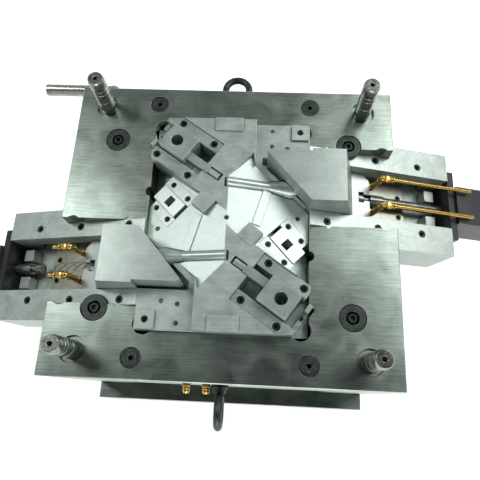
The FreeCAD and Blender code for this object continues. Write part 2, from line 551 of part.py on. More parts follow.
# --------------------------------------------------------------------------- core insert
stock = block("insert_stock", ("insert_width - 2*fit_gap", "insert_length - 2*fit_gap",
                               "insert_depth + %s" % CREST), ("0", "0", POCKET_FLOOR))
insert_faces = []
gib_pockets = {}
insert_cuts = []
insert_adds = []
for side in SIDES:
    level = level_frame(side)
    rail = rail_frame(side)
    facet = facet_frame(side)
    corner = corner_frame(side)
    small = small_frame(side)
    # the low corner beside the big slide of the other hand
    low = [("step_x", "insert_length"), ("insert_width", "insert_length"), ("insert_width", "step_edge_y"),
           (INSERT_EDGE, "step_edge_y"), ("step_x + 2", "step_y")]
    low_floor = prism("low_corner_" + side, low, "100",
                      frame=level + " * " + pose(("0", "0", "low_floor_rise"), ("180", "0", "0")))
    # the sloping parting face from the low side edge up to the crest
    slope = [("-insert_width", "-step_edge_y"), ("-insert_width", "fold_edge_y"),
             ("-" + INSERT_EDGE, "fold_edge_y"), ("-fold_x", "fold_y"), ("-ridge_x", "ridge_y"),
             ("0", "crest_rear"), ("0", "-crest_front"), ("-plateau_x", "-plateau_y"),
             ("-step_x - 2", "-step_y"), ("-" + INSERT_EDGE, "-step_edge_y")]
    slope_prism = prism("slope_prism_" + side, slope, "200", frame=level + " * " + pose(("0", "0", "-100")))
    below = block("slope_below_" + side, ("900", "900", "200"), ("0", "0", "-200"), facet)
    sloping = cut("slope_cut_" + side, slope_prism, [below])
    insert_faces += [low_floor, sloping]
    # pocket for the nose of the big slide, parallel to the rail
    nose = [("-plate_width/2", "%s + %s + run_gap" % (SLIDE_Y, SLIDE_HALF)),
            ("-slide_corner + run_gap", "%s + %s + run_gap" % (SLIDE_Y, SLIDE_HALF)),
            ("-slide_front + pocket_gap", "%s - slide_tip_y + 5" % SLIDE_Y),
            ("-slide_front + pocket_gap", "%s - slot_width/2 + gib_width - run_gap" % SLIDE_Y),
            ("-plate_width/2", "%s - slot_width/2 + gib_width - run_gap" % SLIDE_Y)]
    nose_prism = prism("nose_prism_" + side, nose, "300", frame=level + " * " + pose(("0", "0", "-200")))
    nose_below = block("nose_below_" + side, ("900", "900", "300"),
                       ("0", "0", "-front_depth - run_gap - 300"), rail)
    insert_cuts.append(cut("nose_pocket_" + side, nose_prism, [nose_below]))
    # half round bed for the core pin and its root
    insert_cuts.append(rod("pin_bed_" + side, "pin_dia/2 + run_gap", "%s - pin_root_flat + 3" % PIN_TIP,
                           ("pin_root_flat", "pin_offset", "-pin_depth"), rail, ALONG_X))
    insert_cuts.append(rod("root_bed_flat_" + side, "pin_root_dia/2 + 1",
                           "pin_root_flat - pin_root_start + 7",
                           ("pin_root_start - 5", "pin_offset", "-pin_depth"), rail, ALONG_X))
    insert_cuts.append(cone("root_bed_" + side, "pin_root_dia/2 + 1", "pin_dia/2 + 1",
                            "pin_root_end - pin_root_flat",
                            ("pin_root_flat + 2", "pin_offset", "-pin_depth"), rail, ALONG_X))
    # corner slide: channel, gib pockets, bed of its core
    wide = "(corner_width + 2*run_gap + 3)"
    gib_pockets[side] = block("corner_gib_pocket_" + side,
                              ("insert_width", "%s + 2*corner_gib_width" % wide, "150"),
                              ("-corner_channel_front - insert_width/2", "corner_n", "-corner_floor"), corner)
    insert_cuts.append(gib_pockets[side])
    insert_cuts.append(block("corner_bar_bed_" + side,
                             ("corner_channel_front - corner_slot_end + 1", "corner_bar_width + 1", "80"),
                             ("-(corner_channel_front + corner_slot_end)/2", "corner_bar_n",
                              "corner_bar_top - corner_bar_height - run_gap"), corner))
    # small slide: channel and gib pockets sunk in the slope
    insert_cuts.append(block("small_channel_" + side,
                             ("insert_width - small_slot_end", "small_width + 2*run_gap", "120"),
                             ("-(insert_width + small_slot_end)/2", "-small_n", "-small_depth"), small))
    insert_cuts.append(block("small_gib_pocket_" + side,
                             ("insert_width - small_gib_front + 2*run_gap",
                              "small_width + 2*run_gap + 2*small_gib_width", "120"),
                             ("-(insert_width + small_gib_front)/2", "-small_n", "-small_depth"), small))
    # square boss with a dowel hole in the low corner
    insert_adds.append(block("boss_" + side, ("boss_side", "boss_side", "boss_rise + 4"),
                             BOSS_SPOT + ("low_floor_rise - 4",), level))
    insert_adds.append(block("lock_pad_" + side, ("lock_length", "lock_width", "lock_rise + 4"),
                             ("-lock_offset", "insert_length/2 - lock_width/2 - fit_gap", "%s - 4" % CREST),
                             level))
    insert_adds.append(block("core_cube_" + side, ("cube_side", "cube_side", "cube_rise + 30"),
                             ("-cube_x", "cube_y", "%s - 30" % CREST), level, ("cube_yaw", "0", "0")))
    insert_adds.append(block("branch_rib_" + side, ("rib_length", "rib_width", "rib_rise + 6"),
                             ("-rib_x", "-rib_y", "-6"), facet, ("rib_yaw", "0", "0")))

shaped = cut("insert_shaped", stock, insert_faces)
raised = fuse("insert_raised", [shaped] + insert_adds)
boss_bores = [rod("boss_bore_%d" % number, "boss_hole_dia/2", "100",
                  (x, y, "%s + low_floor_rise + boss_rise - boss_hole_depth" % TOP))
              for number, (x, y) in enumerate(opposite(*BOSS_SPOT), start=1)]

corner_gib_spots = []
small_gib_spots = []
corner_stop_spots = []
for side in SIDES:
    corner = corner_frame(side)
    small = small_frame(side)
    for u in ("corner_screw_rear", "corner_screw_front"):
        for sign in ("+", "-"):
            n = "corner_n %s (corner_width/2 + run_gap + 1.5 + corner_gib_width/2 + 1)" % sign
            corner_gib_spots.append(at(corner, "-" + u, n, "corner_gib_top - corner_screw_dia - 1"))
    for u in ("small_screw_rear", "small_screw_front"):
        for sign in ("+", "-"):
            n = "-small_n %s (small_width/2 + run_gap + small_gib_width/2)" % sign
            along = u if sign == "+" else u.replace("small_screw_rear", "small_screw_rear + 8 - 16")
            small_gib_spots.append(at(small, "-(%s)" % along, n, "-small_screw_dia - 1"))
    corner_stop_spots.append(at(corner, "-corner_stop_u", "corner_n",
                                "corner_stop_height - corner_floor - 15"))
corner_gib_holes = screw_set("corner_gib_screws", "corner_screw_dia", "60", corner_gib_spots)
small_gib_holes = screw_set("small_gib_screws", "small_screw_dia", "40", small_gib_spots)
corner_stop_holes = screw_set("corner_stop_screws", "4", "30", corner_stop_spots)

node(cut("core_insert", raised,
         insert_cuts + boss_bores + [insert_holes, corner_gib_holes, small_gib_holes, corner_stop_holes]
         + ejector_bores), "core_insert")

# --------------------------------------------------------------------------- gibs, wear plates, stops
insert_block = block("insert_zone", ("insert_width + 2*fit_gap", "insert_length + 2*fit_gap", "400"),
                     ("0", "0", POCKET_FLOOR))
inside_insert = block("inside_insert", ("insert_width - 2*fit_gap", "insert_length - 2*fit_gap", "400"),
                      ("0", "0", POCKET_FLOOR))
gib_section = [(CHANNEL_HALF, "0"), ("slot_width/2", "0"), ("slot_width/2", "-gib_height"),
               (CHANNEL_HALF + " + gib_lip", "-gib_height"), (CHANNEL_HALF + " + gib_lip", "-gib_lip_height"),
               (CHANNEL_HALF, "-gib_lip_height")]
for side in SIDES:
    rail = rail_frame(side)
    for word, sign in (("rear", ""), ("front", "-")):
        name = "gib_%s_%s" % (side, word)
        section = [("%s(%s)" % (sign, y), z) for y, z in gib_section]
        if sign:
            section.reverse()
        bar = prism(name + "_bar", section, "gib_outer + (plate_width - insert_width)/2 + 15", "YZ_Plane",
                    frame=rail + " * " + pose(("-gib_outer", "0", "0")))
        corner_at = ("-gib_outer", sign + "(slot_width/2)", "-gib_height - 1")
        square = block(name + "_square", ("2*gib_end_radius", "2*gib_end_radius", "gib_height + 2"),
                       corner_at, rail)
        round_at = ("-gib_outer + gib_end_radius", sign + "(slot_width/2 - gib_end_radius)",
                    "-gib_height - 1")
        rounding = rod(name + "_round", "gib_end_radius", "gib_height + 2", round_at, rail)
        end_cut = cut(name + "_end", square, [rounding])
        node(cut(name, bar, [end_cut, insert_block, gib_holes] + pad_recesses), name)

for side in SIDES:
    rail = rail_frame(side)
    name = "wear_plate_" + side
    length = "(%s + wear_outer)" % WEAR_INNER
    slab = block(name + "_slab", (length, "2*(%s + gib_lip) - 0.4" % CHANNEL_HALF, "wear_thickness"),
                 ("%s - %s/2" % (WEAR_INNER, length), "0", "-gib_height"), rail)
    grooves = []
    for number in range(5):
        centre = ("-wear_outer + 26 + %d*groove_pitch" % number, "-groove_radius*0.6",
                  "-%s - groove_depth" % RAIL_FLOOR)
        outer = rod("%s_arc_%d" % (name, number), "groove_radius", "5", centre, rail, ("70", "0", "0"))
        outer.Angle = 75
        inner = rod("%s_arc_core_%d" % (name, number), "groove_radius - groove_width", "5", centre, rail)
        grooves.append(cut("%s_groove_%d" % (name, number), outer, [inner]))
    node(cut(name, slab, [wear_holes] + grooves), name)

stops = []
for side in SIDES:
    for sign in ("", "-"):
        name = "slide_stop_%s_%s" % (side, "rear" if sign == "" else "front")
        stops.append(block(name, ("stop_length", "stop_width", "stop_height"),
                           ("-stop_x", sign + "stop_spread/2", "-gib_height"), rail_frame(side)))
group("slide_stops", stops)

# --------------------------------------------------------------------------- big slides
for side in SIDES:
    rail = rail_frame(side)
    level = level_frame(side)
    name = "slide_" + side
    tail_top = rail_point("slide_tail", "-tail_depth")
    tail_low = rail_point("slide_tail", "-" + RAIL_FLOOR)
    profile = [("-%s - 1" % INSERT_EDGE, "slide_top"), ("-slide_rear", "slide_top"),
               ("-slide_heel", rail_z("slide_heel", "tail_depth")), tail_top, tail_low,
               ("-%s - 1" % INSERT_EDGE, rail_z("(%s + 1)" % INSERT_EDGE, RAIL_FLOOR))]
    rear_body = prism(name + "_rear", profile, "2*" + SLIDE_HALF, "XZ_Plane",
                      frame=level + " * " + pose(("0", SLIDE_Y, "0")), both_sides=True)
    nose = [("-slide_corner - 10", "%s + %s" % (SLIDE_Y, SLIDE_HALF)),
            ("-slide_corner", "%s + %s" % (SLIDE_Y, SLIDE_HALF)),
            ("-slide_front", "%s - slide_tip_y" % SLIDE_Y),
            ("-slide_front - 6.7", "%s - %s + slide_step" % (SLIDE_Y, SLIDE_HALF)),
            ("-slide_corner - 10", "%s - %s + slide_step" % (SLIDE_Y, SLIDE_HALF))]
    nose_body = prism(name + "_nose", nose, "slide_top + 200", frame=level + " * " + pose(("0", "0", "-200")))
    nose_under = block(name + "_under", ("500", "300", "300"), ("100", "0", "-front_depth - 300"), rail)
    nose_cut = cut(name + "_nose_cut", nose_body, [nose_under])
    foot = block(name + "_foot", ("(plate_width/2 - slide_corner)/cos(rail_slope) - slide_tail - 15",
                                  "2*" + FOOT_HALF, "foot_height"),
                 ("((plate_width/2 - slide_corner)/cos(rail_slope) + slide_tail - 15)/2", "0",
                  "-" + RAIL_FLOOR), rail)
    whole = fuse(name + "_whole", [rear_body, nose_cut, foot])
    tee = block(name + "_tee", ("tee_length + 1", "tee_width + 1", "80"),
                ("slide_tail + tee_inset + tee_length/2", "0", TEE_FLOOR), rail)
    neck = block(name + "_neck", ("tee_inset + 20", "neck_dia + 1", "80"),
                 ("slide_tail + tee_inset/2 - 9.5", "0", TEE_FLOOR), rail)
    bore = rod(name + "_pin_bore", "pin_shank_dia/2 + fit_gap", "pin_shank_length + 50",
               ("pin_root_start - pin_shank_length - fit_gap", "pin_offset", "-pin_depth"), rail, ALONG_X)
    seat = rod(name + "_pin_seat", "pin_root_dia/2 + fit_gap", "100",
               ("pin_root_start", "pin_offset", "-pin_depth"), rail, ALONG_X)
    heel_tools = []
    for sign in ("", "-"):
        spot = ("slide_tail", sign + SLIDE_HALF, "-%s - 5" % RAIL_FLOOR)
        heel_tools.append(block("%s_tail_corner_%s" % (name, sign or "+"),
                                ("tail_corner*sqrt(2)", "tail_corner*sqrt(2)", "40"), spot, rail,
                                ("45", "0", "0")))
    ports = []
    for sign in ("", "-"):
        ports.append(rod(name + "_port" + sign, "fitting_dia/2 - 1 + fit_gap", "20",
                         ("slide_tail - 0.5", sign + "fitting_spread/2", "-fitting_depth"), rail, ALONG_X))
    node(cut(name, whole, [tee, neck, bore, seat] + heel_tools + ports), name)

    section = [("0", "-pin_shank_length"), ("pin_shank_dia/2", "-pin_shank_length"), ("pin_shank_dia/2", "0"),
               ("pin_root_dia/2", "0"), ("pin_root_dia/2", "pin_root_flat - pin_root_start"),
               ("pin_dia/2", "pin_root_end - pin_root_start"),
               ("pin_dia/2", "%s - pin_root_start - 1.5" % PIN_TIP),
               ("pin_dia/2 - 1.5", "%s - pin_root_start" % PIN_TIP), ("0", "%s - pin_root_start" % PIN_TIP)]
    node(turned("core_pin_" + side, section,
                rail + " * " + pose(("pin_root_start", "pin_offset", "-pin_depth"), ALONG_X)),
         "core_pin_" + side)

    fittings = []
    for sign in ("", "-"):
        y = sign + "fitting_spread/2"
        tag = "fitting_%s%s" % (side, "_front" if sign else "_rear")
        x = "(slide_tail - fitting_stand)"
        parts = [rod(tag + "_thread", "fitting_dia/2 - 1", "16 + fitting_stand", (x, y, "-fitting_depth"),
                     rail, ALONG_X),
                 rod(tag + "_collar", "fitting_dia/2 + 1", "fitting_stand - 0.1", (x, y, "-fitting_depth"),
                     rail, ALONG_X),
                 ball(tag + "_bend", "fitting_dia/2 + 1", (x, y, "-fitting_depth"), rail),
                 rod(tag + "_riser", "fitting_dia/2", "fitting_rise", (x, y, "-fitting_depth"), rail),
                 ball(tag + "_elbow", "fitting_dia/2 + 1", (x, y, "fitting_rise - fitting_depth"), rail)]
        up = "fitting_rise - fitting_depth"
        parts.append(hexagon(tag + "_hex", "fitting_hex", "fitting_hex_length", (x, y, up), rail,
                             ALONG_MINUS_X))
        reach = "nozzle_length" if side == "left" else "tube_length"
        width = "nozzle_dia" if side == "left" else "tube_dia"
        pipe = rod(tag + "_pipe", width + "/2", "fitting_hex_length + " + reach, (x, y, up), rail,
                   ALONG_MINUS_X)
        parts.append(pipe)
        solid = fuse(tag + "_solid", parts)
        hollow = rod(tag + "_hollow", width + "/2 - 1.2", reach, (x + " - fitting_hex_length", y, up), rail,
                     ALONG_MINUS_X)
        hollow.setExpression("Height", bound(reach + " + 1"))
        fittings.append(cut(tag, solid, [hollow]))
    group("coolant_fittings_" + side, fittings)

# --------------------------------------------------------------------------- brackets and cylinders
for side in SIDES:
    rail = rail_frame(side)
    level = level_frame(side)
    name = "slide_bracket_" + side
    trough = block(name + "_block", ("bracket_reach + 40", "bracket_width", "bracket_depth"),
                   ("(40 - bracket_reach)/2", "0", "-bracket_depth"), rail)
    foot = block(name + "_foot", ("foot_thick", "bracket_width", "foot_drop - rail_drop - 60"),
                 ("-(plate_width + foot_thick)/2", SLIDE_Y, "-foot_drop"), level)
    ribs = []
    for sign in ("", "-"):
        web = [("-plate_width/2", "-foot_drop + 5"), ("-plate_width/2 - foot_thick - 5", "-foot_drop + 5"),
               rail_point("-bracket_reach + 12", "-bracket_depth"),
               rail_point("-bracket_reach + 12", "-bracket_depth + 10"),
               ("-plate_width/2", "-bracket_depth - 10")]
        spot = pose(("0", "%s %s rib_plate_y" % (SLIDE_Y, sign or "+"), "0"))
        ribs.append(prism(name + "_rib" + ("_front" if sign else "_rear"), web, "rib_plate", "XZ_Plane",
                          frame=level + " * " + spot, both_sides=True))
    whole = fuse(name + "_whole", [trough, foot] + ribs)
    tools = [block(name + "_plate_side", ("200", "600", "600"), ("-plate_width/2 + 100", SLIDE_Y, "-400"),
                   level)]
    pocket_length = "(gib_outer + fit_gap)"
    tools.append(block(name + "_gib_pocket", (pocket_length + " + 60 - gib_end_radius", "slot_width", "100"),
                       ("(60 - %s + gib_end_radius)/2" % pocket_length, "0", "-gib_height"), rail))
    tools.append(block(name + "_end_pocket", ("2*gib_end_radius + 4", "slot_width - 2*gib_end_radius", "100"),
                       ("-%s + gib_end_radius + 2" % pocket_length, "0", "-gib_height"), rail))
    for sign in ("", "-"):
        tools.append(rod(name + "_end_round" + sign, "gib_end_radius", "100",
                         ("-%s + gib_end_radius" % pocket_length,
                          sign + "(slot_width/2 - gib_end_radius)", "-gib_height"), rail))
    tools.append(block(name + "_channel", ("bracket_reach + 80", "2*" + CHANNEL_HALF, "100"),
                       ("(60 - bracket_reach - 20)/2", "0", "-gib_height"), rail))
    node(cut(name, whole, tools + [gib_holes, wear_holes, foot_holes, cylinder_holes]), name)

    name = "cylinder_" + side
    face = "-bracket_reach"
    back = "(bracket_reach + mount_thick)"
    flange = block(name + "_flange", ("mount_thick", "mount_width", "bracket_depth - 2"),
                   ("-bracket_reach - mount_thick/2", "0", "-bracket_depth"), rail)
    barrel = block(name + "_barrel", ("cylinder_length", "cylinder_side", "cylinder_side"),
                   ("-%s - cylinder_length/2" % back, "0", "-rod_depth - cylinder_side/2"), rail)
    solid = fuse(name + "_solid", [flange, barrel])
    rod_bore = rod(name + "_rod_bore", "rod_dia/2 + run_gap", "mount_thick + cylinder_length/2",
                   ("-bracket_reach + 1", "0", "-rod_depth"), rail, ALONG_MINUS_X)
    chamber = rod(name + "_chamber", "piston_dia/2 + run_gap", "cylinder_length - 2*cylinder_head",
                  ("-%s - cylinder_head" % back, "0", "-rod_depth"), rail, ALONG_MINUS_X)
    ports = []
    for number, shift in enumerate(("cylinder_head + 8", "cylinder_length - cylinder_head - 8")):
        ports.append(rod("%s_port_%d" % (name, number), "port_dia/2", "60",
                         ("-%s - %s" % (back, shift), "0", "-rod_depth"), rail, ALONG_MINUS_Y))
    node(cut(name, solid, [rod_bore, chamber, cylinder_holes] + ports), name)

    name = "piston_rod_" + side
    front = "-rod_free" if side == "left" else "(slide_tail + tee_inset + tee_length)"
    spot = rail + " * " + pose((front, "0", "-rod_depth"), ALONG_MINUS_X)
    reach = "(bracket_reach + mount_thick + slide_tail + tee_inset + tee_length + cylinder_head)"
    section = [("0", "0"), ("tee_width/2", "0"), ("tee_width/2", "tee_length"),
               ("neck_dia/2", "tee_length"), ("neck_dia/2", "tee_length + tee_inset + 2"),
               ("rod_end_dia/2", "tee_length + tee_inset + 2"),
               ("rod_end_dia/2", "tee_length + tee_inset + 2 + rod_end_length"),
               ("rod_dia/2", "tee_length + tee_inset + 2 + rod_end_length"), ("rod_dia/2", reach + " + 1"),
               ("piston_dia/2", reach + " + 1"), ("piston_dia/2", reach + " + 1 + piston_thick"),
               ("0", reach + " + 1 + piston_thick")]
    node(turned(name, section, spot), name)

# --------------------------------------------------------------------------- corner slides
CORNER_SIDES = {"left": "rear_left", "right": "front_right"}
CORNER_GAP = "(corner_width/2 + run_gap + 1.5)"
corner_gibs = []
corner_stops = []
for side, word in CORNER_SIDES.items():
    corner = corner_frame(side)
    name = "corner_slide_" + word
    base = "-corner_floor + run_gap"
    length = "(corner_rear - corner_front)"
    middle = "-(corner_rear + corner_front)/2"
    body = block(name + "_block", (length, "corner_width", "corner_top + corner_floor - run_gap"),
                 (middle, "corner_n", base), corner)
    wings = block(name + "_wings", (length + " - corner_wing_step", "corner_width + 2*corner_wing",
                                    "corner_wing_height - run_gap"),
                  (middle + " + corner_wing_step/2", "corner_n", base), corner)
    whole = fuse(name + "_whole", [eased_block(name + "_eased", body, "slide_chamfer"), wings])
    bore = rod(name + "_bore", "corner_bore_dia/2", "200",
               ("-corner_bore_u - 100*sin(corner_bore_tilt)", "corner_n", "corner_top - 100"), corner,
               ("0", "corner_bore_tilt", "0"))
    bar_seat = block(name + "_bar_seat", ("40", "corner_bar_width + 0.3", "corner_bar_height + 0.3"),
                     ("-corner_front + 10", "corner_bar_n", "corner_bar_top - corner_bar_height - fit_gap"),
                      corner)
    node(cut(name, whole, [bore, bar_seat]), name)

    bar = block("corner_core_%s_bar" % word,
                ("corner_front - corner_bar_end + 10", "corner_bar_width", "corner_bar_height"),
                ("-(corner_front + corner_bar_end + 10)/2", "corner_bar_n",
                 "corner_bar_top - corner_bar_height"), corner)
    nose = rod("corner_core_%s_nose" % word, "corner_core_dia/2", "corner_bar_end - corner_core_end + 3",
               ("-corner_bar_end - 3", "corner_bar_n", "corner_bar_top - corner_bar_height/2"),
               corner, ALONG_X)
    node(fuse("corner_core_" + word, [bar, nose]), "corner_core_" + word)

    for sign, start in (("+", "corner_gib_rear"), ("-", "corner_gib_rear - 17")):
        name = "corner_gib_%s_%s" % (word, "outer" if sign == "+" else "inner")
        length = "(%s - corner_channel_front)" % start
        strip = block(name + "_strip",
                      (length, "corner_gib_width - 2*fit_gap", "corner_gib_top + corner_floor"),
                      ("-(%s + corner_channel_front + 0.6)/2" % start,
                       "corner_n %s (%s + corner_gib_width/2)" % (sign, CORNER_GAP), "-corner_floor"), corner)
        lip = block(name + "_lip", ("400", "2*(corner_wing + run_gap)", "corner_wing_height + run_gap"),
                    ("-200", "corner_n %s %s" % (sign, CORNER_GAP), "-corner_floor"), corner)
        trimmed = common(name + "_trimmed", strip, inside_insert)
        corner_gibs.append(cut(name, trimmed, [lip, corner_gib_holes]))
    name = "corner_stop_" + word
    plate_body = block(name + "_back", ("corner_stop_thick", "2*%s - 0.6" % CORNER_GAP, "corner_stop_height"),
                       ("-corner_stop_u", "corner_n", "-corner_floor"), corner)
    dip = block(name + "_dip", ("corner_stop_thick + 2", "24", "corner_stop_height"),
                ("-corner_stop_u", "corner_n", "corner_stop_height - corner_floor - 15"), corner)
    corner_stops.append(cut(name, plate_body, [dip, corner_stop_holes]))
group("corner_gibs", corner_gibs)
group("corner_stops", corner_stops)

# --------------------------------------------------------------------------- small slides
small_gibs = []
for side in SIDES:
    small = small_frame(side)
    name = "small_slide_" + side
    length = "(small_rear - small_front)"
    middle = "-(small_rear + small_front)/2"
    base = "-small_depth + run_gap"
    body = block(name + "_block", (length, "small_width", "small_depth + small_proud - run_gap"),
                 (middle, "-small_n", base), small)
    wings = block(name + "_wings", (length, "small_width + 2*small_wing", "small_wing_height - run_gap"),
                  (middle, "-small_n", base), small)
    whole = fuse(name + "_whole", [body, wings])
    cam = block(name + "_cam_hole", ("small_cam_length", "small_cam_width", "100"),
                ("-small_cam_front - small_cam_length/2", "-small_n", "-50"), small)
    node(cut(name, whole, [cam]), name)
    for sign in ("+", "-"):
        name = "small_gib_%s_%s" % (side, "inner" if sign == "+" else "outer")
        strip = block(name + "_strip",
                      ("small_gib_rear - small_gib_front + 20", "small_gib_width - 2*fit_gap", "small_depth"),
                      ("-(small_gib_rear + small_gib_front + 20.6)/2",
                       "-small_n %s (small_width/2 + run_gap + small_gib_width/2)" % sign, "-small_depth"),
                      small)
        lip = block(name + "_lip", ("400", "2*(small_wing + run_gap)", "small_wing_height + run_gap"),
                    ("-200", "-small_n %s (small_width/2 + run_gap)" % sign, "-small_depth"), small)
        rear = block(name + "_rear", ("60", "200", "100"),
                     ("-small_gib_rear - 30 %s" % ("" if sign == "+" else "+ 12"), "-small_n", "-60"), small)
        trimmed = common(name + "_trimmed", strip, inside_insert)
        small_gibs.append(cut(name, trimmed, [lip, rear, gib_pockets[side], small_gib_holes]))
group("small_gibs", small_gibs)

# --------------------------------------------------------------------------- guide pillars, discs
PILLAR_HEIGHT = "(core_plate_height + pillar_reach)"
RELIEF = "(core_plate_height - pillar_recess_depth)"
section = [("0", "0"), ("pillar_head_dia/2", "0"), ("pillar_head_dia/2", "pillar_head_height - 0.2"),
           ("pillar_dia/2", "pillar_head_height - 0.2"), ("pillar_dia/2", RELIEF + " - 3"),
           ("pillar_dia/2 - 0.5", RELIEF + " - 3"), ("pillar_dia/2 - 0.5", RELIEF + " + 1"),
           ("pillar_dia/2", RELIEF + " + 1"),
           ("pillar_dia/2", PILLAR_HEIGHT + " - pillar_tip - 9"),
           ("pillar_dia/2 - 1", PILLAR_HEIGHT + " - pillar_tip - 8"),
           ("pillar_dia/2 - 1", PILLAR_HEIGHT + " - pillar_tip - 5"),
           ("pillar_dia/2", PILLAR_HEIGHT + " - pillar_tip - 4"),
           ("pillar_dia/2", PILLAR_HEIGHT + " - pillar_tip"),
           ("pillar_dia/2 - pillar_tip/2", PILLAR_HEIGHT),
           ("pillar_centre_dia/2", PILLAR_HEIGHT), ("0", PILLAR_HEIGHT + " - pillar_centre_dia/2")]
pillar = turned("guide_pillar_one", section)
node(copies("guide_pillars", pillar, [at(HERE, x, y, CORE_BOTTOM) for x, y in four(*PILLAR_SPOT)]),
     "guide_pillars")

disc_blank = rod("disc_blank", "pad_dia/2", "pad_height", ("0", "0", "0"))
disc_bore = rod("disc_bore", "pad_screw_dia/2 + fit_gap", "pad_height + 2", ("0", "0", "-1"))
disc_sink = rod("disc_sink", "pad_sink_dia/2", "pad_height", ("0", "0", "pad_floor"))
disc = cut("disc_one", disc_blank, [disc_bore, disc_sink])
disc_spots = [at(HERE, x, y, "%s - pad_height" % TOP) for x, y in four(*PAD_SPOT)]
node(copies("support_discs", disc, disc_spots), "support_discs")

# --------------------------------------------------------------------------- ejector set
BASE_LOW = "(clamp_plate_height + button_height)"
RETAINER_LOW = "(clamp_plate_height + button_height + ejector_base_height)"
RETAINER_TOP = "(clamp_plate_height + button_height + ejector_base_height + retainer_height)"
button = rod("stop_button_one", "button_dia/2", "button_height", ("0", "0", "0"))
button_spots = [at(HERE, x, y, "clamp_plate_height") for x, y in four("button_x", "button_y")]
node(copies("stop_buttons", button, button_spots), "stop_buttons")

plate_screw_spots = [at(HERE, x, y, "%s + plate_screw_dia + 2" % BASE_LOW, ("0", "180", "0"))
                     for x, y in four(*PLATE_SCREW_SPOT)]
plate_holes = screw_set("ejector_plate_screws", "plate_screw_dia", "ejector_base_height + plate_screw_grip",
                        plate_screw_spots)

bush_bores = []
strut_bores = []
for number, (x, y) in enumerate(four(*GUIDE_SPOT), start=1):
    bush_bores.append(rod("bush_bore_%d" % number, "bush_dia/2 + fit_gap", SPACER_TOP,
                          (x, y, "clamp_plate_height")))
    bush_bores.append(rod("bush_seat_%d" % number, "bush_flange_dia/2 + fit_gap", "bush_flange_height",
                          (x, y, RETAINER_LOW)))
for number, (x, y) in enumerate(four("strut_x", "strut_y"), start=1):
    strut_bores.append(rod("strut_bore_%d" % number, "strut_dia/2 + strut_room", SPACER_TOP,
                           (x, y, "clamp_plate_height")))

base_blank = block("ejector_base_blank", ("2*" + EJECTOR_EDGE, EJECTOR_LENGTH, "ejector_base_height"),
                   ("0", "0", BASE_LOW))
node(cut("ejector_base_plate", base_blank, bush_bores + strut_bores + [plate_holes]), "ejector_base_plate")

retainer_blank = block("ejector_retainer_blank", ("2*" + EJECTOR_EDGE, EJECTOR_LENGTH, "retainer_height"),
                       ("0", "0", RETAINER_LOW))
head_seats = []
for number, (x, y) in enumerate(ejector_points, start=1):
    head_seats.append(rod("ejector_seat_%d" % number, "ejector_head_dia/2 + fit_gap", "ejector_head_height",
                          (x, y, RETAINER_LOW)))
for number, (x, y) in enumerate(four(*RETURN_SPOT), start=1):
    head_seats.append(rod("return_seat_%d" % number, "return_head_dia/2 + fit_gap", "return_head_height",
                          (x, y, RETAINER_LOW)))
node(cut("ejector_retainer_plate", retainer_blank,
         bush_bores + strut_bores + head_seats + return_bores + ejector_bores + [plate_holes]),
     "ejector_retainer_plate")

RETURN_HEIGHT = "(%s - %s)" % (TOP, RETAINER_LOW)
section = [("0", "0"), ("return_head_dia/2", "0"), ("return_head_dia/2", "return_head_height - 0.1"),
           ("return_dia/2", "return_head_height - 0.1"), ("return_dia/2", RETURN_HEIGHT + " - 1"),
           ("return_dia/2 - 1", RETURN_HEIGHT), ("11", RETURN_HEIGHT), ("11", RETURN_HEIGHT + " - 1"),
           ("9", RETURN_HEIGHT + " - 1"), ("9", RETURN_HEIGHT), ("4", RETURN_HEIGHT),
           ("4", RETURN_HEIGHT + " - 12"), ("0", RETURN_HEIGHT + " - 12")]
return_pin = turned("return_pin_one", section)
node(copies("return_pins", return_pin, [at(HERE, x, y, RETAINER_LOW) for x, y in four(*RETURN_SPOT)]),
     "return_pins")

pins = []
for number, (x, y) in enumerate(ejector_points, start=1):
    if number == 1:
        top = "%s + %s - 1 - %s" % (TOP, CREST, RETAINER_LOW)
    elif number < 8:
        top = "%s + low_floor_rise - 0.2 - %s" % (TOP, RETAINER_LOW)
    else:
        top = "%s - 8 - %s" % (TOP, RETAINER_LOW)
    shank = rod("ejector_pin_shank_%d" % number, "ejector_pin_dia/2", top, (x, y, RETAINER_LOW))
    head = rod("ejector_pin_head_%d" % number, "ejector_head_dia/2", "ejector_head_height - 0.1",
               (x, y, RETAINER_LOW))
    pins.append(fuse("ejector_pin_%d" % number, [shank, head]))
group("ejector_pins", pins)

section = [("guide_dia/2 + run_gap", "0"), ("bush_flange_dia/2", "0"),
           ("bush_flange_dia/2", "bush_flange_height - 0.1"), ("bush_dia/2", "bush_flange_height - 0.1"),
           ("bush_dia/2", "retainer_height"), ("guide_dia/2 + run_gap", "retainer_height")]
bush = turned("guide_bush_one", section)
node(copies("ejector_guide_bushes", bush, [at(HERE, x, y, RETAINER_LOW) for x, y in four(*GUIDE_SPOT)]),
     "ejector_guide_bushes")

guide_pin = rod("ejector_guide_pin_one", "guide_dia/2", "spacer_height + guide_socket + clamp_plate_height/2",
                ("0", "0", "0"))
node(copies("ejector_guide_pins", guide_pin,
            [at(HERE, x, y, "clamp_plate_height/2") for x, y in four(*GUIDE_SPOT)]),
     "ejector_guide_pins")

strut_blank = rod("strut_blank", "strut_dia/2", "spacer_height", ("0", "0", "clamp_plate_height"))
strut_tap = rod("strut_tap", "strut_screw_dia/2 + fit_gap", "clamp_plate_height",
                ("0", "0", "clamp_plate_height - 1"))
strut = cut("support_pillar_one", strut_blank, [strut_tap])
node(copies("support_pillars", strut, [at(HERE, x, y, "0") for x, y in four("strut_x", "strut_y")]),
     "support_pillars")

